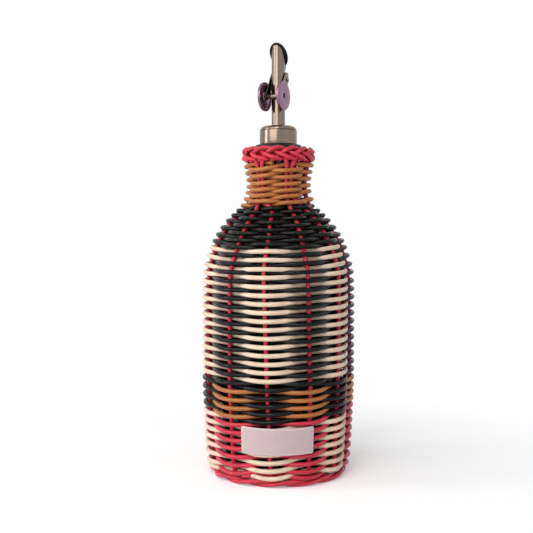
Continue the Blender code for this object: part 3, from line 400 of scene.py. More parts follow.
def steel_finish(name, colour, across, crease=None):
    """Polished stainless steel: clear reflections, slightly blurred along fine polishing lines.

    The lines are really under 0.05 mm apart; they are drawn wider so that they show.
    """
    finish, tree, place = new_finish(f"polished_stainless_{name}")
    spacings = [POLISH_LINES * (1 if axis in across else POLISH_STRETCH) for axis in "xyz"]
    scale = [per_mm(spacing) for spacing in spacings]
    drawn = add_node(tree, "Mapping", {"Vector": place, "Scale": scale})
    lines = add_node(tree, "TexNoise", {"Vector": drawn, "Scale": 1.0, "Detail": 3.0})
    smears = add_node(tree, "TexNoise", {"Vector": place, "Scale": per_mm(6), "Detail": 3.0})
    gloss = add_node(tree, "MapRange", {"Value": smears, "To Min": 0.12, "To Max": 0.26})
    relief = add_node(tree, "Bump", {"Strength": 0.12, "Distance": 0.00002, "Height": lines})
    # Random warm patches: a painted brown reflection mixed into the steel's colour
    brown_reflection_share = add_node(tree, "MapRange", {"Value": smears, "From Min": 0.5, "From Max": 0.7})
    steel_with_painted_reflection = add_node(tree, "Mix", {0: brown_reflection_share, 6: colour, 7: linear("#8f7765")}, data_type="RGBA")
    toned = add_node(tree, "Mix", {0: lines, 6: scaled(colour, 0.72), 7: steel_with_painted_reflection}, data_type="RGBA")
    # Given the groove's height, a painted shade darkens a thin band along it
    if crease:
        height = add_node(tree, "SeparateXYZ", {0: place})
        above = add_node(tree, "Math", {0: height.outputs["Z"], 1: crease * MM}, operation="SUBTRACT")
        off = add_node(tree, "Math", {0: above}, operation="ABSOLUTE")
        painted_groove_shade = add_node(tree, "MapRange", {"Value": off, "From Min": 0.00034, "From Max": 0.00016})
        toned = add_node(tree, "Mix", {0: painted_groove_shade, 6: toned, 7: linear("#2b2422")}, data_type="RGBA")
    return surface(finish, Base_Color=toned, Metallic=1.0, Roughness=gloss, Normal=relief)


def turned_steel_finish(colour):
    """Stainless steel faced on a lathe: fine rings round the middle that stretch the highlight across them.

    The rings are really about 0.05 mm apart; they are drawn 0.25 mm apart so that they show.
    """
    finish, tree, place = new_finish("faced_stainless_discs")
    flat = add_node(tree, "Mapping", {"Vector": place, "Scale": (1, 1, 0)})
    reach = add_node(tree, "VectorMath", {0: flat}, operation="LENGTH")
    turned_at = {"W": reach, "Scale": per_mm(0.25), "Detail": 2.0}
    rings = add_node(tree, "TexNoise", turned_at, noise_dimensions="1D")
    smears = add_node(tree, "TexNoise", {"Vector": place, "Scale": per_mm(5), "Detail": 3.0})
    gloss = add_node(tree, "MapRange", {"Value": smears, "To Min": 0.2, "To Max": 0.36})
    relief = add_node(tree, "Bump", {"Strength": 0.2, "Distance": 0.00003, "Height": rings})
    toned = add_node(tree, "Mix", {0: rings, 6: scaled(colour, 0.8), 7: colour}, data_type="RGBA")
    return surface(finish, Base_Color=toned, Metallic=1.0, Roughness=gloss, Normal=relief)


def blackened_finish():
    """Hot-blackened steel: a dark oxide coat, matt enough that only its rim catches light."""
    finish, tree, place = new_finish("hot_blackened_steel")
    coat = add_node(tree, "TexNoise", {"Vector": place, "Scale": per_mm(0.5), "Detail": 3.0})
    toned = add_node(tree, "Mix", {0: coat, 6: linear("#120f10"), 7: linear("#2a2425")}, data_type="RGBA")
    relief = add_node(tree, "Bump", {"Strength": 0.2, "Distance": 0.00003, "Height": coat})
    return surface(finish, Base_Color=toned, Metallic=1.0, Roughness=0.55, Normal=relief)


def rubber_finish(colour):
    """Moulded silicone: matt, with a faint bloom and the fine texture of its mould."""
    finish, tree, place = new_finish("moulded_silicone")
    texture = add_node(tree, "TexNoise", {"Vector": place, "Scale": per_mm(0.4), "Detail": 2.0})
    bloom = add_node(tree, "TexNoise", {"Vector": place, "Scale": per_mm(4), "Detail": 3.0})
    toned = add_node(tree, "Mix", {0: bloom, 6: colour, 7: scaled(colour, 2.2)}, data_type="RGBA")
    relief = add_node(tree, "Bump", {"Strength": 0.2, "Distance": 0.00004, "Height": texture})
    gloss = add_node(tree, "MapRange", {"Value": bloom, "To Min": 0.5, "To Max": 0.7})
    return surface(
        finish, Base_Color=toned, Roughness=gloss, Normal=relief, IOR=1.41, Specular_IOR_Level=0.25)


finishes = {}


def shared_finish(name, make, *wanted):
    """A finish made once and used by every piece that asks for it."""
    if name not in finishes:
        finishes[name] = make(*wanted)
    return finishes[name]


def cord_colour(context, name):
    """The finish of one colour of cord, with its darker streaks."""
    colour = list(getattr(context.scene.oil_pourer_cords, name))
    shade, shine, gloss = CORD_LOOKS[name]
    return shared_finish(name, cord_finish, name, colour, linear(shade), shine, gloss)


class JacketOutline:
    """The jacket's outer outline as one smooth line, walked by its length from the table."""

    def __init__(self):
        heights = [height for height, radius in JACKET_OUTLINE]
        radii = [radius for height, radius in JACKET_OUTLINE]
        chords = [(r2 - r1) / (h2 - h1) for h1, r1, h2, r2 in zip(heights, radii, heights[1:], radii[1:])]
        slopes = [chords[0]]
        for before, after in zip(chords, chords[1:]):
            slopes.append(2 * before * after / (before + after) if before * after > 0 else 0)
        slopes.append(chords[-1])
        self.height = np.linspace(heights[0], heights[-1], OUTLINE_STEPS)
        self.radius = np.empty(OUTLINE_STEPS)
        for place, height in enumerate(self.height):
            step = min(max(sum(h <= height for h in heights) - 1, 0), len(chords) - 1)
            span = heights[step + 1] - heights[step]
            t = (height - heights[step]) / span
            blend = mix(radii[step], radii[step + 1], ease(t))
            bend = slopes[step] * t * (1 - t) ** 2 - slopes[step + 1] * t * t * (1 - t)
            self.radius[place] = blend + span * bend
        self.length = np.concatenate([[0], np.cumsum(np.hypot(np.diff(self.radius), np.diff(self.height)))])
        self.lean = np.gradient(self.radius, self.length)
        self.climb = np.gradient(self.height, self.length)

    def length_at(self, height):
        return np.interp(height, self.height, self.length)

    def point(self, length, depth):
        """(radius, height) of a point this deep under the outline."""
        lean, climb = np.interp(length, self.length, self.lean), np.interp(length, self.length, self.climb)
        steep = np.hypot(lean, climb)
        radius = np.interp(length, self.length, self.radius) - depth * climb / steep
        return radius, np.interp(length, self.length, self.height) + depth * lean / steep


jacket = JacketOutline()
gather_lengths = [jacket.length_at(height) for height in GATHER_HEIGHTS]
drift_lengths = [jacket.length_at(height) for height in DRIFT_HEIGHTS]


def stake_azimuth(index, length):
    """Where a stake stands at this length up the jacket."""
    upright = STAKE_DEGREES[index]
    side = 1 if index % 2 == 0 else -1
    neighbour = STAKE_DEGREES[(index - side) % len(STAKE_DEGREES)]
    apart = (neighbour - upright + 180) % 360 - 180
    in_pair = upright + apart / 2 + PAIR_TWIST_DEGREES + side * PAIR_HALF_GAP_DEGREES
    if index in STAKE_DRIFTS:
        upright += np.interp(length, drift_lengths, STAKE_DRIFTS[index])
    climbed = ease((length - gather_lengths[0]) / (gather_lengths[1] - gather_lengths[0]))
    return mix(upright, in_pair, climbed)


def in_front(azimuth, length, cord, paired):
    """1 where the cord is in front of its stake, -1 where it is behind, and easing between."""
    count = len(STAKE_DEGREES)
    stakes = []
    for index in range(-2, count + 2):
        lap, place = divmod(index, count)
        state = (index + 1) // 2 % 2 if paired else index % 2
        stakes.append((stake_azimuth(place, length) + 360 * lap, 1 if state == cord else -1))
    azimuth = (azimuth - STAKE_DEGREES[0] + 180) % 360 - 180 + STAKE_DEGREES[0]
    while azimuth < stakes[0][0]:
        azimuth += 360
    for (start, before), (end, after) in zip(stakes, stakes[1:]):
        if start <= azimuth <= end:
            share = (1 - math.cos(math.pi * (azimuth - start) / (end - start))) / 2
            return mix(before, after, share)
    return 0


def around(azimuth, radius, height):
    """A point from its azimuth in degrees, radius and height."""
    turn = math.radians(azimuth)
    return (radius * math.sin(turn), -radius * math.cos(turn), height)


def skin(rings, looped=False):
    """Points, faces and (run, round) places of a skin over rings of equal count, looped or capped."""
    rings = np.asarray(rings, float)
    count, sides = rings.shape[:2]
    middles = rings.mean(axis=1)
    steps = np.linalg.norm(np.diff(middles, axis=0, append=middles[:1]), axis=1)
    run = np.concatenate([[0], np.cumsum(steps)]) * MM
    girth = np.linalg.norm(np.diff(rings[0], axis=0, append=rings[0][:1]), axis=1)
    girth = np.concatenate([[0], np.cumsum(girth)]) * MM
    faces, places = [], []
    for ring in range(count if looped else count - 1):
        base, above = ring * sides, (ring + 1) % count * sides
        for side in range(sides):
            after = (side + 1) % sides
            faces.append((base + side, base + after, above + after, above + side))
            low, high, left, right = run[ring], run[ring + 1], girth[side], girth[side + 1]
            places += [(low, left), (low, right), (high, right), (high, left)]
    if not looped:
        for ring, order in ((0, reversed(range(sides))), (count - 1, range(sides))):
            faces.append(tuple(ring * sides + side for side in order))
            places += [(run[ring], 0)] * sides
    return rings.reshape(-1, 3), faces, places


def cord(points, thickness, sides=CORD_SIDES, looped=False, outward=None):
    """The skin of a round cord along points; its round starts away from the axis, or on the side given."""
    points = np.asarray(points, float)
    outward = points * (1, 1, 0) if outward is None else np.broadcast_to(outward, points.shape)
    if looped:
        along = np.roll(points, -1, axis=0) - np.roll(points, 1, axis=0)
    else:
        along = np.gradient(points, axis=0)
    along /= np.linalg.norm(along, axis=1, keepdims=True)
    out = outward - along * np.sum(outward * along, axis=1, keepdims=True)
    out /= np.linalg.norm(out, axis=1, keepdims=True)
    beside = np.cross(along, out)
    radii = np.broadcast_to(np.asarray(thickness, float) / 2, len(points))[:, None, None]
    turns = np.arange(sides) * math.tau / sides
    cosines, sines = np.cos(turns)[None, :, None], np.sin(turns)[None, :, None]
    return skin(points[:, None, :] + radii * (cosines * out[:, None, :] + sines * beside[:, None, :]), looped)


def joined(*skins):
    """Several skins as one."""
    points, faces, places, count = [], [], [], 0
    for more_points, more_faces, more_places in skins:
        points.append(np.asarray(more_points, float))
        faces += [tuple(corner + count for corner in face) for face in more_faces]
        places += more_places
        count += len(more_points)
    return np.concatenate(points), faces, places


def turned(outline, facets=TURNED_FACETS):
    """Points and faces of an outline (radius, height) turned about the z axis; a radius of 0 closes it."""
    points, faces, rings = [], [], []
    for radius, height in outline:
        if radius == 0:
            rings.append([len(points)])
            points.append((0, 0, height))
            continue
        rings.append(list(range(len(points), len(points) + facets)))
        for step in range(facets):
            points.append(around(360 * step / facets, radius, height))
    pairs = list(zip(rings, rings[1:]))
    if len(rings[0]) > 1:
        pairs.append((rings[-1], rings[0]))
    for ring, above in pairs:
        for step in range(facets):
            after = (step + 1) % facets
            corners = [ring[step % len(ring)], ring[after % len(ring)]]
            corners += [above[after % len(above)], above[step % len(above)]]
            faces.append(tuple(dict.fromkeys(corners)))
    return np.array(points), faces, None


def eased(outline, amount, closed=True):
    """The outline with each corner rounded off over this length at most."""
    count = len(outline)
    corners = []
    for place, corner in enumerate(outline):
        if not closed and place in (0, count - 1):
            corners.append(tuple(corner))
            continue
        before, after = Vector(outline[place - 1]), Vector(outline[(place + 1) % count])
        here = Vector(corner)
        if abs((here - before).normalized().dot((after - here).normalized())) > NEARLY_STRAIGHT:
            corners.append(tuple(corner))
            continue
        start = here.lerp(before, min(amount / (before - here).length, MOST_OF_SIDE))
        end = here.lerp(after, min(amount / (after - here).length, MOST_OF_SIDE))
        for share in ROUNDING_SHARES:
            corners.append(tuple(start.lerp(here, share).lerp(here.lerp(end, share), share)))
    return corners


def make_piece(name, shape, finish, body, replaces, place=None, face_map=None, round_edges=0):
    """A piece from points in millimetres, in its place, riding on its body."""
    points, faces, runs = shape
    mesh = bpy.data.meshes.new(name)
    mesh.from_pydata((np.asarray(points, float) * MM).tolist(), [], faces)
    if runs is not None:
        layer = mesh.uv_layers.new(name=face_map or "cord_run")
        layer.data.foreach_set("uv", np.asarray(runs, float).ravel())
    shaping = bmesh.new()
    shaping.from_mesh(mesh)
    bmesh.ops.recalc_face_normals(shaping, faces=shaping.faces)
    shaping.to_mesh(mesh)
    shaping.free()
    mesh.polygons.foreach_set("use_smooth", [True] * len(mesh.polygons))
    mesh.set_sharp_from_angle(angle=math.radians(SHARP_DEGREES))
    mesh.materials.append(finish)
    piece = bpy.data.objects.new(name, mesh)
    bpy.context.scene.collection.objects.link(piece)
    piece.matrix_world = place or Matrix.Identity(4)
    if round_edges:
        edges = piece.modifiers.new("worn_edges", "BEVEL")
        edges.width = round_edges * MM
        edges.segments = 2
        edges.limit_method = "ANGLE"
        edges.angle_limit = math.radians(SHARP_DEGREES)
    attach(piece, body)
    if replaces:
        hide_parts(*replaces)
    return piece


def make_cords(context, name, shape, colour, replaced):
    """A woven piece in one colour of cord, riding on the bottle."""
    make_piece(name, shape, cord_colour(context, colour), "bottle", (replaced,))


def row_point(turn, cord_index):
    """Azimuth, length up the jacket and depth share of one of the two woven cords after so many turns."""
    azimuth = STAKE_DEGREES[0] + 360 * turn
    climbed = turn - (SECOND_CORD_LAG if cord_index else 0)
    height = np.interp(climbed, np.arange(-1, len(TURN_HEIGHTS) - 1), TURN_HEIGHTS)
    if turn > NECK_TURN:
        places = [place for place, rise in NECK_WANDER] + [NECK_WANDER[0][0] + 360]
        rises = [rise for place, rise in NECK_WANDER] + [NECK_WANDER[0][1]]
        around_neck = (azimuth - places[0]) % 360 + places[0]
        height += np.interp(around_neck, places, rises) * ease((turn - NECK_TURN) / WANDER_TURNS)
    from_front = min(abs((azimuth + 180) % 360 - 180), 90)
    (low, above_foot), (below_neck, high) = SAG_FADES
    held = ease((height - low) / (above_foot - low)) * ease((high - height) / (high - below_neck))
    height += ROW_SAG * held * (1 - math.cos(math.radians(from_front)))
    left = 1 - ease((height - TILT_FADE[0]) / (TILT_FADE[1] - TILT_FADE[0]))
    height += FOOT_TILT * math.sin(math.radians(azimuth)) * left
    length = jacket.length_at(height)
    weave = in_front(azimuth, length, cord_index, turn > NECK_TURN)
    steep = -np.interp(length, jacket.length, jacket.lean) / np.interp(length, jacket.length, jacket.climb)
    gentle, steepest = SHOULDER_SLOPES
    length -= weave * (FRONT_DIP + SHOULDER_DIP * ease((steep - gentle) / (steepest - gentle)))
    return azimuth, min(max(length, jacket.length_at(LOWEST_ROW)), jacket.length_at(HIGHEST_ROW)), weave


class OILPOURER_OT_woven_rows(bpy.types.Operator):
    """Weave the two cords of each band in front of and behind the stakes"""
    bl_idname = "oil_pourer.woven_rows"
    bl_label = "Woven Rows"

    def execute(self, context):
        cords = context.scene.oil_pourer_cords
        for name, cord_index, first, last, colour, replaced in BANDS:
            thickness = (cords.second_thickness if cord_index else cords.first_thickness) / MM
            deepest = 2 * STAKE_DEPTH - cords.first_thickness / MM / 2
            steps = round((last - first) * POINTS_PER_TURN)
            points = []
            for step in range(steps + 1):
                azimuth, length, weave = row_point(mix(first, last, step / steps), cord_index)
                depth = mix(deepest, thickness / 2, (weave + 1) / 2)
                points.append(around(azimuth, *jacket.point(length, depth)))
            make_cords(context, name, cord(points, thickness), colour, replaced)
        return {"FINISHED"}


class OILPOURER_OT_stakes(bpy.types.Operator):
    """Stand the red stakes between the glass and the rows, and turn their tops into the braid"""
    bl_idname = "oil_pourer.stakes"
    bl_label = "Stakes"

    def execute(self, context):
        thickness = context.scene.oil_pourer_cords.stake_thickness / MM
        start, end = jacket.length_at(STAKE_FOOT), jacket.length_at(NECK_TOP)
        for index in range(len(STAKE_DEGREES)):
            line = [(stake_azimuth(index, length), *jacket.point(length, STAKE_DEPTH))
                    for length in np.linspace(start, end, STAKE_POINTS)]
            azimuth, radius, height = line[-1]
            for step in range(1, TOP_STEPS + 1):
                share = step / TOP_STEPS
                line.append((azimuth, radius + TOP_FLARE * ease(share), mix(height, STAKE_TOP, share)))
            points = []
            for azimuth, radius, height in line:
                climb = max(height - LEAN_START, 0) / (STAKE_TOP - LEAN_START)
                points.append(around(azimuth + TOP_LEANS[index % 2] * climb * climb, radius, height))
            name = f"stake_{index + 1:02d}"
            make_cords(context, f"{name}_cord", cord(points, thickness), "red", name)
        return {"FINISHED"}


class OILPOURER_OT_braided_border(bpy.types.Operator):
    """Plait the stakes' ends round the mouth, each up behind the next ones and down in front of them"""
    bl_idname = "oil_pourer.braided_border"
    bl_label = "Braided Border"

    def execute(self, context):
        thickness = context.scene.oil_pourer_cords.braid_thickness / MM
        shares, radii, heights = zip(*BRAID_PATH)
        along = np.linspace(0, 1, BRAID_POINTS)
        soften = np.ones(SOFTENED_POINTS) / SOFTENED_POINTS
        skins = []
        for strand in range(BRAID_STRANDS):
            start = BRAID_FIRST_PEAK + 360 * strand / BRAID_STRANDS - BRAID_PEAK_SHARE * BRAID_REACH_DEGREES
            lines = [np.interp(along, shares, values) for values in (radii, heights)]
            padded = [np.pad(line, SOFTENED_POINTS // 2, "edge") for line in lines]
            lines = [np.convolve(line, soften, "valid") for line in padded]
            azimuths = start + BRAID_REACH_DEGREES * along
            skins.append(cord([around(*place) for place in zip(azimuths, *lines)], thickness))
        for radius, height in BRAID_CORE:
            turns = np.linspace(0, 360, CORE_POINTS, endpoint=False)
            waves = CORE_WAVE * np.sin(np.radians(CORE_WAVES * turns))
            points = [around(azimuth, radius, height + wave) for azimuth, wave in zip(turns, waves)]
            skins.append(cord(points, thickness, looped=True))
        make_cords(context, "braided_border_cords", joined(*skins), "red", "braided_border")
        return {"FINISHED"}


class OILPOURER_OT_foot_border(bpy.types.Operator):
    """Twist two cords round the foot"""
    bl_idname = "oil_pourer.foot_border"
    bl_label = "Foot Border"

    def execute(self, context):
        thickness = context.scene.oil_pourer_cords.border_thickness / MM
        skins = []
        for strand in range(2):
            points = []
            for step in range(BORDER_POINTS):
                azimuth = 360 * step / BORDER_POINTS
                phase = math.radians(BORDER_TWISTS * azimuth + 180 * strand)
                height = BORDER_MIDDLE + (BORDER_MIDDLE - thickness / 2) * math.sin(phase)
                rim = np.interp(height, jacket.height, jacket.radius) - thickness / 2
                points.append(around(azimuth, rim - BORDER_TUCK * (1 - math.cos(phase)), height))
            skins.append(cord(points, thickness, looped=True))
        make_cords(context, "foot_border_cords", joined(*skins), "red", "foot_border")
        return {"FINISHED"}


class OILPOURER_OT_base(bpy.types.Operator):
    """Coil a cord in and out of spokes under the bottle"""
    bl_idname = "oil_pourer.base"
    bl_label = "Woven Base"

    def execute(self, context):
        points = []
        for step in range(BASE_TURNS * BASE_POINTS + 1):
            turn = step / BASE_POINTS
            lift = COIL_WAVE * math.sin(math.radians(360 * turn * BASE_SPOKES / 2))
            reach = mix(COIL_INSIDE, COIL_OUTSIDE, turn / BASE_TURNS)
            points.append(around(360 * turn, reach, BASE_MIDDLE + lift))
        coil = cord(points, COIL_THICKNESS, outward=(0, 0, 1))
        make_cords(context, "base_coil", coil, "cream", "base_weave")
        skins = []
        for spoke in range(BASE_SPOKES):
            azimuth = 360 * (spoke + 0.5) / BASE_SPOKES
            reaches = np.linspace(SPOKE_INSIDE, SPOKE_OUTSIDE, SPOKE_POINTS)
            line = [around(azimuth, reach, BASE_MIDDLE) for reach in reaches]
            skins.append(cord(line, SPOKE_THICKNESS, SPOKE_SIDES, outward=(0, 0, 1)))
        make_cords(context, "base_spokes", joined(*skins), "red", "base_weave")
        return {"FINISHED"}


class OILPOURER_OT_glass(bpy.types.Operator):
    """Turn the glass bottle inside the jacket"""
    bl_idname = "oil_pourer.glass"
    bl_label = "Glass Bottle"

    def execute(self, context):
        colour = list(context.scene.oil_pourer_bottle.glass)
        finish = shared_finish("glass", glass_finish, colour)
        outline = eased(BOTTLE_OUTLINE, GLASS_ROUND, closed=False)
        make_piece("bottle_glass", turned(outline), finish, "bottle", ("glass_bottle",))
        return {"FINISHED"}


class OILPOURER_OT_label(bpy.types.Operator):
    """Bend the bare leather label round the foot"""
    bl_idname = "oil_pourer.label"
    bl_label = "Label"

    def execute(self, context):
        looks = context.scene.oil_pourer_bottle
        width, height = LABEL_SIZE
        radius = np.interp(LABEL_CENTRE, jacket.height, jacket.radius) + LABEL_GAP
        columns, rows = LABEL_COLUMNS, LABEL_ROWS
        layers = {True: [], False: []}
        for column in range(columns + 1):
            across = mix(-width / 2, width / 2, column / columns)
            past = max(abs(across) - (width / 2 - LABEL_CORNER), 0)
            reach = height / 2 - (LABEL_CORNER - math.sqrt(max(LABEL_CORNER ** 2 - past ** 2, 0)))
            for row in range(rows + 1):
                up = mix(-reach, reach, row / rows)
                from_edge = min(width / 2 - abs(across), reach - abs(up))
                up += LABEL_BOW * (2 * across / width) ** 2 - LABEL_BOW / 3
                groove = PRESSED_DEPTH * math.exp(-((from_edge - PRESSED_EDGE) / PRESSED_WIDTH) ** 2)
                rounding = ROUND_DOWN * (1 - math.sqrt(max(1 - max(1 - from_edge / ROUND_IN, 0) ** 2, 0)))
                on_weave = np.interp(LABEL_CENTRE + up, jacket.height, jacket.radius) + LABEL_GAP
                azimuth = LABEL_AZIMUTH + math.degrees(across / radius)
                outer = on_weave + LABEL_THICKNESS - groove - rounding
                off_line = abs(from_edge - PRESSED_EDGE)
                layers[True].append((around(azimuth, outer, LABEL_CENTRE + up), off_line))
                under = on_weave + UNDER_ROUNDING * rounding
                layers[False].append((around(azimuth, under, LABEL_CENTRE + up), UNDER_LINE))
        points = [place for place, edge in layers[True] + layers[False]]
        edges = [edge for place, edge in layers[True] + layers[False]]
        size, stride = (columns + 1) * (rows + 1), rows + 1
        faces = []
        for column in range(columns):
            for row in range(rows):
                corner = column * stride + row
                square = (corner, corner + stride, corner + stride + 1, corner + 1)
                faces += [square, tuple(size + place for place in reversed(square))]
        rim = list(range(rows)) + [column * stride + rows for column in range(columns)]
        rim += [columns * stride + row for row in range(rows, 0, -1)]
        rim += [column * stride for column in range(columns, 0, -1)]
        for start, end in zip(rim, rim[1:] + rim[:1]):
            faces.append((start, end, size + end, size + start))
        places = [(edges[corner] * MM, 0) for face in faces for corner in face]
        finish = shared_finish("leather", leather_finish, list(looks.leather), list(looks.pressed_line_highlight))
        make_piece("label_plate", (np.array(points), faces, places), finish, "bottle",
                   ("label_patch",), face_map="label_face")
        return {"FINISHED"}


pour_turn = Matrix.Rotation(math.radians(POUR_TURN_DEGREES), 4, "Z")


def pourer_place(x, y, z, turn_x=0, turn_y=0):
    """Where a part of the pourer goes: at a place in the pourer's own frame, tipped, then turned with it."""
    tip = Matrix.Rotation(math.radians(turn_x), 4, "X") @ Matrix.Rotation(math.radians(turn_y), 4, "Y")
    return pour_turn @ Matrix.Translation(Vector((x, y, z)) * MM) @ tip


def steel(context, name, across, crease=None):
    colour = list(context.scene.oil_pourer_pourer.steel)
    return shared_finish(name, steel_finish, name, colour, across, crease)


def silicone(context):
    return shared_finish("rubber", rubber_finish, list(context.scene.oil_pourer_pourer.rubber))


def slanted_place(along, out):
    """(y, z) on the slanted lid: along the cut from its centre, up the slope, and out from it."""
    slope = math.radians(CUT_DEGREES)
    return (-along * math.cos(slope) + out * math.sin(slope),
            CUT_CENTRE + along * math.sin(slope) + out * math.cos(slope))


class OILPOURER_OT_stopper(bpy.types.Operator):
    """Turn the finned stopper"""
    bl_idname = "oil_pourer.stopper"
    bl_label = "Stopper"

    def execute(self, context):
        foot = STOPPER_BOTTOM + STOPPER_NOSE
        outline = [(SPOUT_HOLE, STOPPER_BOTTOM), (STOPPER_ROOT_RADIUS - STOPPER_NOSE, STOPPER_BOTTOM)]
        outline.append((STOPPER_ROOT_RADIUS, foot))
        pitch = (CAP_BOTTOM - foot - LAST_FIN_GAP) / (STOPPER_FINS + 1)
        for fin in range(STOPPER_FINS):
            for up, out in FIN_SHAPE:
                outline.append((mix(STOPPER_ROOT_RADIUS, MOUTH_FIN_RADIUS, out), foot + pitch * (fin + up)))
        outline += [(STOPPER_ROOT_RADIUS, CAP_BOTTOM), (STOPPER_HEAD_RADIUS, CAP_BOTTOM)]
        outline += [(radius, CAP_CEILING - CEILING_GAP) for radius in (STOPPER_HEAD_RADIUS, SPOUT_HOLE)]
        plug = turned(eased(outline, STOPPER_ROUND))
        make_piece("stopper_plug", plug, silicone(context), "pourer", ("stopper",))
        return {"FINISHED"}


class OILPOURER_OT_cap(bpy.types.Operator):
    """Turn the steel cap: a skirt, a groove and a domed top"""
    bl_idname = "oil_pourer.cap"
    bl_label = "Cap"

    def execute(self, context):
        crease = (SKIRT_TOP + DOME_BOTTOM) / 2
        outline = [(CAP_RADIUS, CAP_BOTTOM), (CAP_RADIUS, SKIRT_TOP), (CAP_GROOVE_RADIUS, crease)]
        for step in range(DOME_STEPS + 1):
            turn = math.radians(90 * step / DOME_STEPS)
            outline.append((mix(CAP_FLAT_RADIUS, CAP_GROOVE_RADIUS, math.cos(turn)),
                            mix(DOME_BOTTOM, CAP_TOP, math.sin(turn))))
        outline += [(SPOUT_HOLE, CAP_TOP), (SPOUT_HOLE, CAP_CEILING)]
        outline += [(CAP_INSIDE, CAP_CEILING), (CAP_INSIDE, CAP_BOTTOM)]
        shell = turned(eased(outline, CAP_ROUND), FINE_FACETS)
        # The cap's finish paints shade along the groove between its skirt and its dome
        finish = steel(context, "cap", "z", crease)
        make_piece("cap_shell", shell, finish, "pourer", ("pourer_cap",))
        return {"FINISHED"}


class OILPOURER_OT_spout(bpy.types.Operator):
    """Draw the spout tube and cut its mouth on a slope, and put the thin air tube beside it"""
    bl_idname = "oil_pourer.spout"
    bl_label = "Spout and Air Tube"

    def execute(self, context):
        slope = math.tan(math.radians(CUT_DEGREES))
        bore = SPOUT_RADIUS - SPOUT_WALL
        section = [(SPOUT_RADIUS, SPOUT_BOTTOM), (SPOUT_RADIUS, CUT_CENTRE)]
        section += [(bore, CUT_CENTRE), (bore, SPOUT_BOTTOM)]
        points, faces, places = turned(eased(section, SPOUT_ROUND))
        cut = points[:, 2] > CUT_CENTRE - 1
        points[cut, 2] -= slope * points[cut, 1]
        tube = steel(context, "tube", "z")
        make_piece("spout_pipe", (points, faces, places), tube, "pourer", ("spout_tube",), pour_turn)
        inside = AIR_TUBE_RADIUS - AIR_TUBE_WALL
        outline = [(inside, AIR_TUBE_BOTTOM), (AIR_TUBE_RADIUS, AIR_TUBE_BOTTOM)]
        outline += [(AIR_TUBE_RADIUS, CAP_TOP), (inside, CAP_TOP)]
        pipe = turned(eased(outline, AIR_TUBE_ROUND), SMALL_FACETS)
        place = pourer_place(0, AIR_TUBE_BEHIND, 0)
        make_piece("air_pipe", pipe, tube, "pourer", ("air_tube",), place)
        return {"FINISHED"}


class OILPOURER_OT_rivets(bpy.types.Operator):
    """Head the two rivets that the lever turns on"""
    bl_idname = "oil_pourer.rivets"
    bl_label = "Rivets"

    def execute(self, context):
        shank = math.sqrt(SPOUT_RADIUS ** 2 - PIVOT[0] ** 2)
        outline = [(0, shank), (RIVET_RADIUS, shank)]
        outline += [(RIVET_RADIUS, WEIGHT_INSIDE), (RIVET_HEAD_RADIUS, WEIGHT_INSIDE)]
        for step in range(RIVET_STEPS):
            turn = math.radians(90 * step / RIVET_STEPS)
            rise = RIVET_RIM + (RIVET_HEAD - RIVET_RIM) * math.sin(turn)
            outline.append((RIVET_HEAD_RADIUS * math.cos(turn), WEIGHT_INSIDE + rise))
        outline.append((0, WEIGHT_INSIDE + RIVET_HEAD))
        for side, name in ((-1, "left"), (1, "right")):
            rivet, place = turned(outline, SMALL_FACETS), pourer_place(0, *PIVOT, turn_y=90 * side)
            make_piece(f"rivet_{name}", rivet, steel(context, "tube", "z"), "pourer",
                       (f"hinge_rivet_{name}",), place)
        return {"FINISHED"}


class OILPOURER_OT_lid(bpy.types.Operator):
    """Lay the soft gasket and its steel plate over the slanted mouth"""
    bl_idname = "oil_pourer.lid"
    bl_label = "Lid"

    def execute(self, context):
        for name, node, finish, slot, margin, out, thickness, edge in (
            ("gasket_disc", "lid_gasket", silicone(context), "black_rubber", 0,
             LID_GAP, GASKET_THICKNESS, GASKET_ROUND),
            ("lid_disc", "lid_plate", steel(context, "lid", "x"), "steel", PLATE_MARGIN,
             2 * LID_GAP + GASKET_THICKNESS, PLATE_THICKNESS, PLATE_ROUND),
        ):
            outline = eased([(0, 0), (1, 0), (1, thickness), (0, thickness)], edge, closed=False)
            points, faces, places = turned(outline, LID_FACETS)
            reach = np.hypot(points[:, 0], points[:, 1])[:, None]
            halves = np.array((LID_HALF_WIDTH, LID_HALF_LENGTH)) - margin
            points[:, :2] *= (halves - (1 - reach)) / np.where(reach > 0, reach, 1)
            y, z = slanted_place(0, out)
            make_piece(name, (points, faces, places), finish, "flap", (node,),
                       pourer_place(0, y, z, turn_x=-CUT_DEGREES))
        return {"FINISHED"}


def plate_along_x(outline, holes, inside, outside):
    """A flat plate between two x places, from a (y, z) outline with holes."""
    shape = bmesh.new()
    edges = []
    for loop in [outline] + holes:
        corners = [shape.verts.new((inside, y, z)) for y, z in loop]
        edges += [shape.edges.new((start, end)) for start, end in zip(corners, corners[1:] + corners[:1])]
    filled = bmesh.ops.triangle_fill(shape, use_beauty=True, edges=edges)
    faces = [face for face in filled["geom"] if isinstance(face, bmesh.types.BMFace)]
    raised = bmesh.ops.extrude_face_region(shape, geom=faces, use_keep_orig=True)
    for corner in raised["geom"]:
        if isinstance(corner, bmesh.types.BMVert):
            corner.co.x = outside
    shape.verts.index_update()
    points = np.array([corner.co[:] for corner in shape.verts])
    sides = [tuple(corner.index for corner in face.verts) for face in shape.faces]
    shape.free()
    return points, sides, []


def circle(y, z, radius, count=SMALL_FACETS):
    return [(y + radius * math.cos(math.tau * step / count), z + radius * math.sin(math.tau * step / count))
            for step in range(count)]


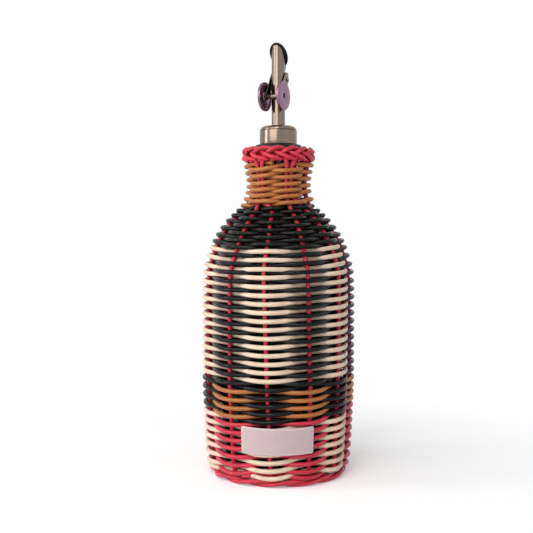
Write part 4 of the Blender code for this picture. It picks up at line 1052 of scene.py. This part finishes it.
class OILPOURER_OT_lever(bpy.types.Operator):
    """Stamp the lever: an arm each side of the spout, a web round its back and a strap up to the lid"""
    bl_idname = "oil_pourer.lever"
    bl_label = "Lever"

    def execute(self, context):
        web_top = WEB_LIFT + WEB_HEIGHT
        sample = circle(AXLE[0], AXLE[1], EYE_RADIUS) + circle(*PIVOT, EYE_RADIUS)
        sample += [(PIVOT[0] + reach, PIVOT[1] + web_top) for reach in (-EYE_RADIUS, EYE_RADIUS / 2)]
        sample = [(round(y, LEVER_DIGITS), round(z, LEVER_DIGITS)) for y, z in sample]
        outline = [sample[place] for place in convex_hull_2d(sample)]
        foremost = outline.index(min(outline))
        outline = outline[foremost:] + outline[:foremost]
        holes = [circle(*PIVOT, PIVOT_HOLE), circle(*AXLE, AXLE_HOLE)]
        skins = [plate_along_x(outline, holes, side * LEVER_INSIDE, side * LEVER_OUTSIDE) for side in (-1, 1)]
        low, high = PIVOT[1] + WEB_LIFT, PIVOT[1] + web_top
        rings = []
        for step in range(WEB_STEPS + 1):
            turn = math.radians(mix(WEB_START_DEGREES, 180 - WEB_START_DEGREES, step / WEB_STEPS))
            rings.append([(radius * math.cos(turn), radius * math.sin(turn), height) for radius, height in (
                (LEVER_INSIDE, low), (LEVER_OUTSIDE, low), (LEVER_OUTSIDE, high), (LEVER_INSIDE, high))])
        skins.append(skin(rings))
        on_plate = 3 * LID_GAP + GASKET_THICKNESS + PLATE_THICKNESS
        sides = []
        for reach in (LEVER_INSIDE, LEVER_OUTSIDE):
            out = on_plate + reach - LEVER_INSIDE
            line = [(reach, low + WEB_HEIGHT / 2), (reach, high)]
            line += [slanted_place(-LID_HALF_LENGTH - LID_GAP, out), slanted_place(0, out)]
            sides.append(eased(line, STRAP_BEND, closed=False))
        strap = sides[0] + list(reversed(sides[1]))
        skins.append(plate_along_x(strap, [], -STRAP_HALF_WIDTH, STRAP_HALF_WIDTH))
        points, faces, places = joined(*skins)
        make_piece("lever_plate", (points, faces, None), steel(context, "lever", "y"), "flap",
                   ("lid_lever",), pour_turn, round_edges=LEVER_ROUND)
        return {"FINISHED"}


class OILPOURER_OT_weights(bpy.types.Operator):
    """Turn the two discs that weigh the flap shut, and their axle"""
    bl_idname = "oil_pourer.weights"
    bl_label = "Weights"

    def execute(self, context):
        steel_colour = context.scene.oil_pourer_pourer.steel
        # The discs' colour takes in a painted mauve reflection
        colour = [mix(plain, reflected_mauve, REFLECTED_MAUVE_SHARE) for plain, reflected_mauve in zip(steel_colour, linear(WEIGHT_REFLECTED_MAUVE))]
        faced = shared_finish("faced", turned_steel_finish, colour)
        half = WEIGHT_THICKNESS / 2
        inner, outer, depth = WEIGHT_RECESS
        profile = [(AXLE_HOLE, half), (WEIGHT_RADIUS, half), (WEIGHT_RADIUS, -half)]
        profile += [(outer + depth / 2, -half), (outer, depth - half)]
        profile += [(inner, depth - half), (inner - depth / 2, -half), (AXLE_HOLE, -half)]
        for side, name in ((-1, "left"), (1, "right")):
            outline = eased([(radius, side * up) for radius, up in profile], DISC_ROUND)
            place = pourer_place(side * (WEIGHT_INSIDE + half), *AXLE, turn_y=90)
            make_piece(f"weight_disc_{name}", turned(outline, FINE_FACETS), faced, "flap",
                       (f"weight_{name}",), place)
        end = WEIGHT_INSIDE + WEIGHT_THICKNESS - AXLE_RECESS - AXLE_END
        blackened, bright = shared_finish("blackened", blackened_finish), steel(context, "tube", "z")
        for name, finish, middle, half, rounding in (
            ("axle_end_left", blackened, -end - AXLE_END / 2, AXLE_END / 2, AXLE_END_ROUND),
            ("axle_end_right", blackened, end + AXLE_END / 2, AXLE_END / 2, AXLE_END_ROUND),
            ("axle_pin", bright, 0, end, PIN_ROUND),
        ):
            profile = [(0, -half), (AXLE_RADIUS, -half), (AXLE_RADIUS, half), (0, half)]
            rod = turned(eased(profile, rounding, closed=False), ROD_FACETS)
            place = pourer_place(middle, *AXLE, turn_y=90)
            make_piece(name, rod, finish, "flap", ("weight_axle",), place)
        return {"FINISHED"}


def seen_rays(tree):
    """1 for what the camera sees, straight, mirrored or through glass, and 0 for light on the pieces."""
    rays = add_node(tree, "LightPath")
    seen = rays.outputs["Is Camera Ray"]
    for kind in ("Is Glossy Ray", "Is Transmission Ray"):
        seen = add_node(tree, "Math", {0: seen, 1: rays.outputs[kind]}, operation="MAXIMUM")
    return seen


class OILPOURER_OT_stage(bpy.types.Operator):
    """Set the floor, the lamps and the camera"""
    bl_idname = "oil_pourer.stage"
    bl_label = "Stage"

    def execute(self, context):
        looks = context.scene.oil_pourer_stage
        self.lay_floor(looks)
        self.light_room(context, looks)
        self.set_camera(context, looks)
        context.scene.view_settings.view_transform = "Standard"
        return {"FINISHED"}

    def lay_floor(self, looks):
        """Painted board: matt and pale, with a faint roller texture.

        The camera sees it lifted to white, in mirrors and glass too, and it keeps the bottle's shadow.
        """
        finish, tree, place = new_finish("painted_board_floor")
        roller = add_node(tree, "TexNoise", {"Vector": place, "Scale": per_mm(3), "Detail": 3.0})
        relief = add_node(tree, "Bump", {"Strength": 0.1, "Distance": 0.0002, "Height": roller})
        board = add_node(tree, "BsdfDiffuse", {"Color": list(looks.floor), "Normal": relief})
        seen = seen_rays(tree)
        lift = add_node(tree, "Math", {0: seen, 1: FLOOR_LIFT}, operation="MULTIPLY")
        glow = add_node(tree, "Emission", {"Color": WHITE, "Strength": lift})
        near = add_node(tree, "AddShader", {0: board, 1: glow})
        away = add_node(tree, "VectorMath", {0: place}, operation="LENGTH")
        fade = {"Value": away, "From Min": FLOOR_FADE[0], "From Max": FLOOR_FADE[1]}
        far = add_node(tree, "MapRange", fade, interpolation_type="SMOOTHSTEP")
        white = add_node(tree, "Emission", {"Color": WHITE, "Strength": seen})
        share = add_node(tree, "Math", {0: far, 1: seen}, operation="MULTIPLY")
        total = add_node(tree, "MixShader", {0: share, 1: near, 2: white})
        add_node(tree, "OutputMaterial", {"Surface": total})
        mesh = bpy.data.meshes.new("floor_board")
        corners = [(x * FLOOR_HALF * MM, y * FLOOR_HALF * MM, -FLOOR_DROP * MM)
                   for x, y in ((-1, -1), (1, -1), (1, 1), (-1, 1))]
        mesh.from_pydata(corners, [], [(0, 1, 2, 3)])
        mesh.materials.append(finish)
        floor = bpy.data.objects.new("floor_board", mesh)
        bpy.context.scene.collection.objects.link(floor)

    def light_room(self, context, looks):
        """Soft lamps in front, above and at the left, a dim one at the right, and an even white room."""
        world = bpy.data.worlds.new("white_room")
        context.scene.world = world
        world.use_nodes = True
        tree = world.node_tree
        tree.nodes.clear()
        strength = add_node(tree, "MapRange", {"Value": seen_rays(tree), "To Min": looks.sky, "To Max": 1.0})
        room = add_node(tree, "Background", {"Color": WHITE, "Strength": strength})
        add_node(tree, "OutputWorld", {"Surface": room})
        for name, (width, height, place) in LAMPS.items():
            lamp = bpy.data.lights.new(f"{name}_softbox", "AREA")
            lamp.shape = "RECTANGLE"
            lamp.size, lamp.size_y = width, height
            lamp.energy = getattr(looks, f"{name}_watts")
            holder = bpy.data.objects.new(f"{name}_softbox", lamp)
            holder.location = place
            aim = Vector(LAMP_AIM) - Vector(place)
            holder.rotation_euler = aim.to_track_quat("-Z", "Y").to_euler()
            context.scene.collection.objects.link(holder)

    def set_camera(self, context, looks):
        """The camera stands a little above the bottle's middle and looks slightly down."""
        lens = bpy.data.cameras.new("photo_camera")
        lens.sensor_width = SENSOR
        lens.lens = LENS
        lens.clip_start = 0.01
        camera = bpy.data.objects.new("photo_camera", lens)
        camera.location = (0, -looks.camera_distance, looks.camera_height)
        camera.rotation_euler = (math.radians(90 - LOOK_DOWN), 0, CAMERA_TURN)
        context.scene.collection.objects.link(camera)
        context.scene.camera = camera


class OILPOURER_PT_pieces(bpy.types.Panel):
    """Sizes, colours and the buttons that make each piece"""
    bl_idname = "OILPOURER_PT_pieces"
    bl_label = "Woven Oil Pourer"
    bl_space_type = "VIEW_3D"
    bl_region_type = "UI"
    bl_category = "Oil Pourer"

    def draw(self, context):
        layout = self.layout
        for group in PROPERTY_GROUPS:
            box = layout.box()
            settings = getattr(context.scene, group)
            for name in settings.bl_rna.properties.keys():
                if name not in ("rna_type", "name"):
                    box.prop(settings, name)
        for operator in OPERATORS:
            layout.operator(operator.bl_idname)


PROPERTY_GROUPS = {
    "oil_pourer_cords": CordProperties,
    "oil_pourer_bottle": BottleProperties,
    "oil_pourer_pourer": PourerProperties,
    "oil_pourer_stage": StageProperties,
}
OPERATORS = (
    OILPOURER_OT_glass,
    OILPOURER_OT_woven_rows,
    OILPOURER_OT_stakes,
    OILPOURER_OT_braided_border,
    OILPOURER_OT_foot_border,
    OILPOURER_OT_base,
    OILPOURER_OT_label,
    OILPOURER_OT_stopper,
    OILPOURER_OT_cap,
    OILPOURER_OT_spout,
    OILPOURER_OT_rivets,
    OILPOURER_OT_lid,
    OILPOURER_OT_lever,
    OILPOURER_OT_weights,
    OILPOURER_OT_stage,
)
CLASSES = (*PROPERTY_GROUPS.values(), *OPERATORS, OILPOURER_PT_pieces)


def register():
    for each in CLASSES:
        bpy.utils.register_class(each)
    for name, group in PROPERTY_GROUPS.items():
        setattr(bpy.types.Scene, name, PointerProperty(type=group))


def unregister():
    for name in PROPERTY_GROUPS:
        delattr(bpy.types.Scene, name)
    for each in reversed(CLASSES):
        bpy.utils.unregister_class(each)


def main():
    register()
    for operator in OPERATORS:
        family, name = operator.bl_idname.split(".")
        getattr(getattr(bpy.ops, family), name)()


if __name__ == "__main__":
    main()
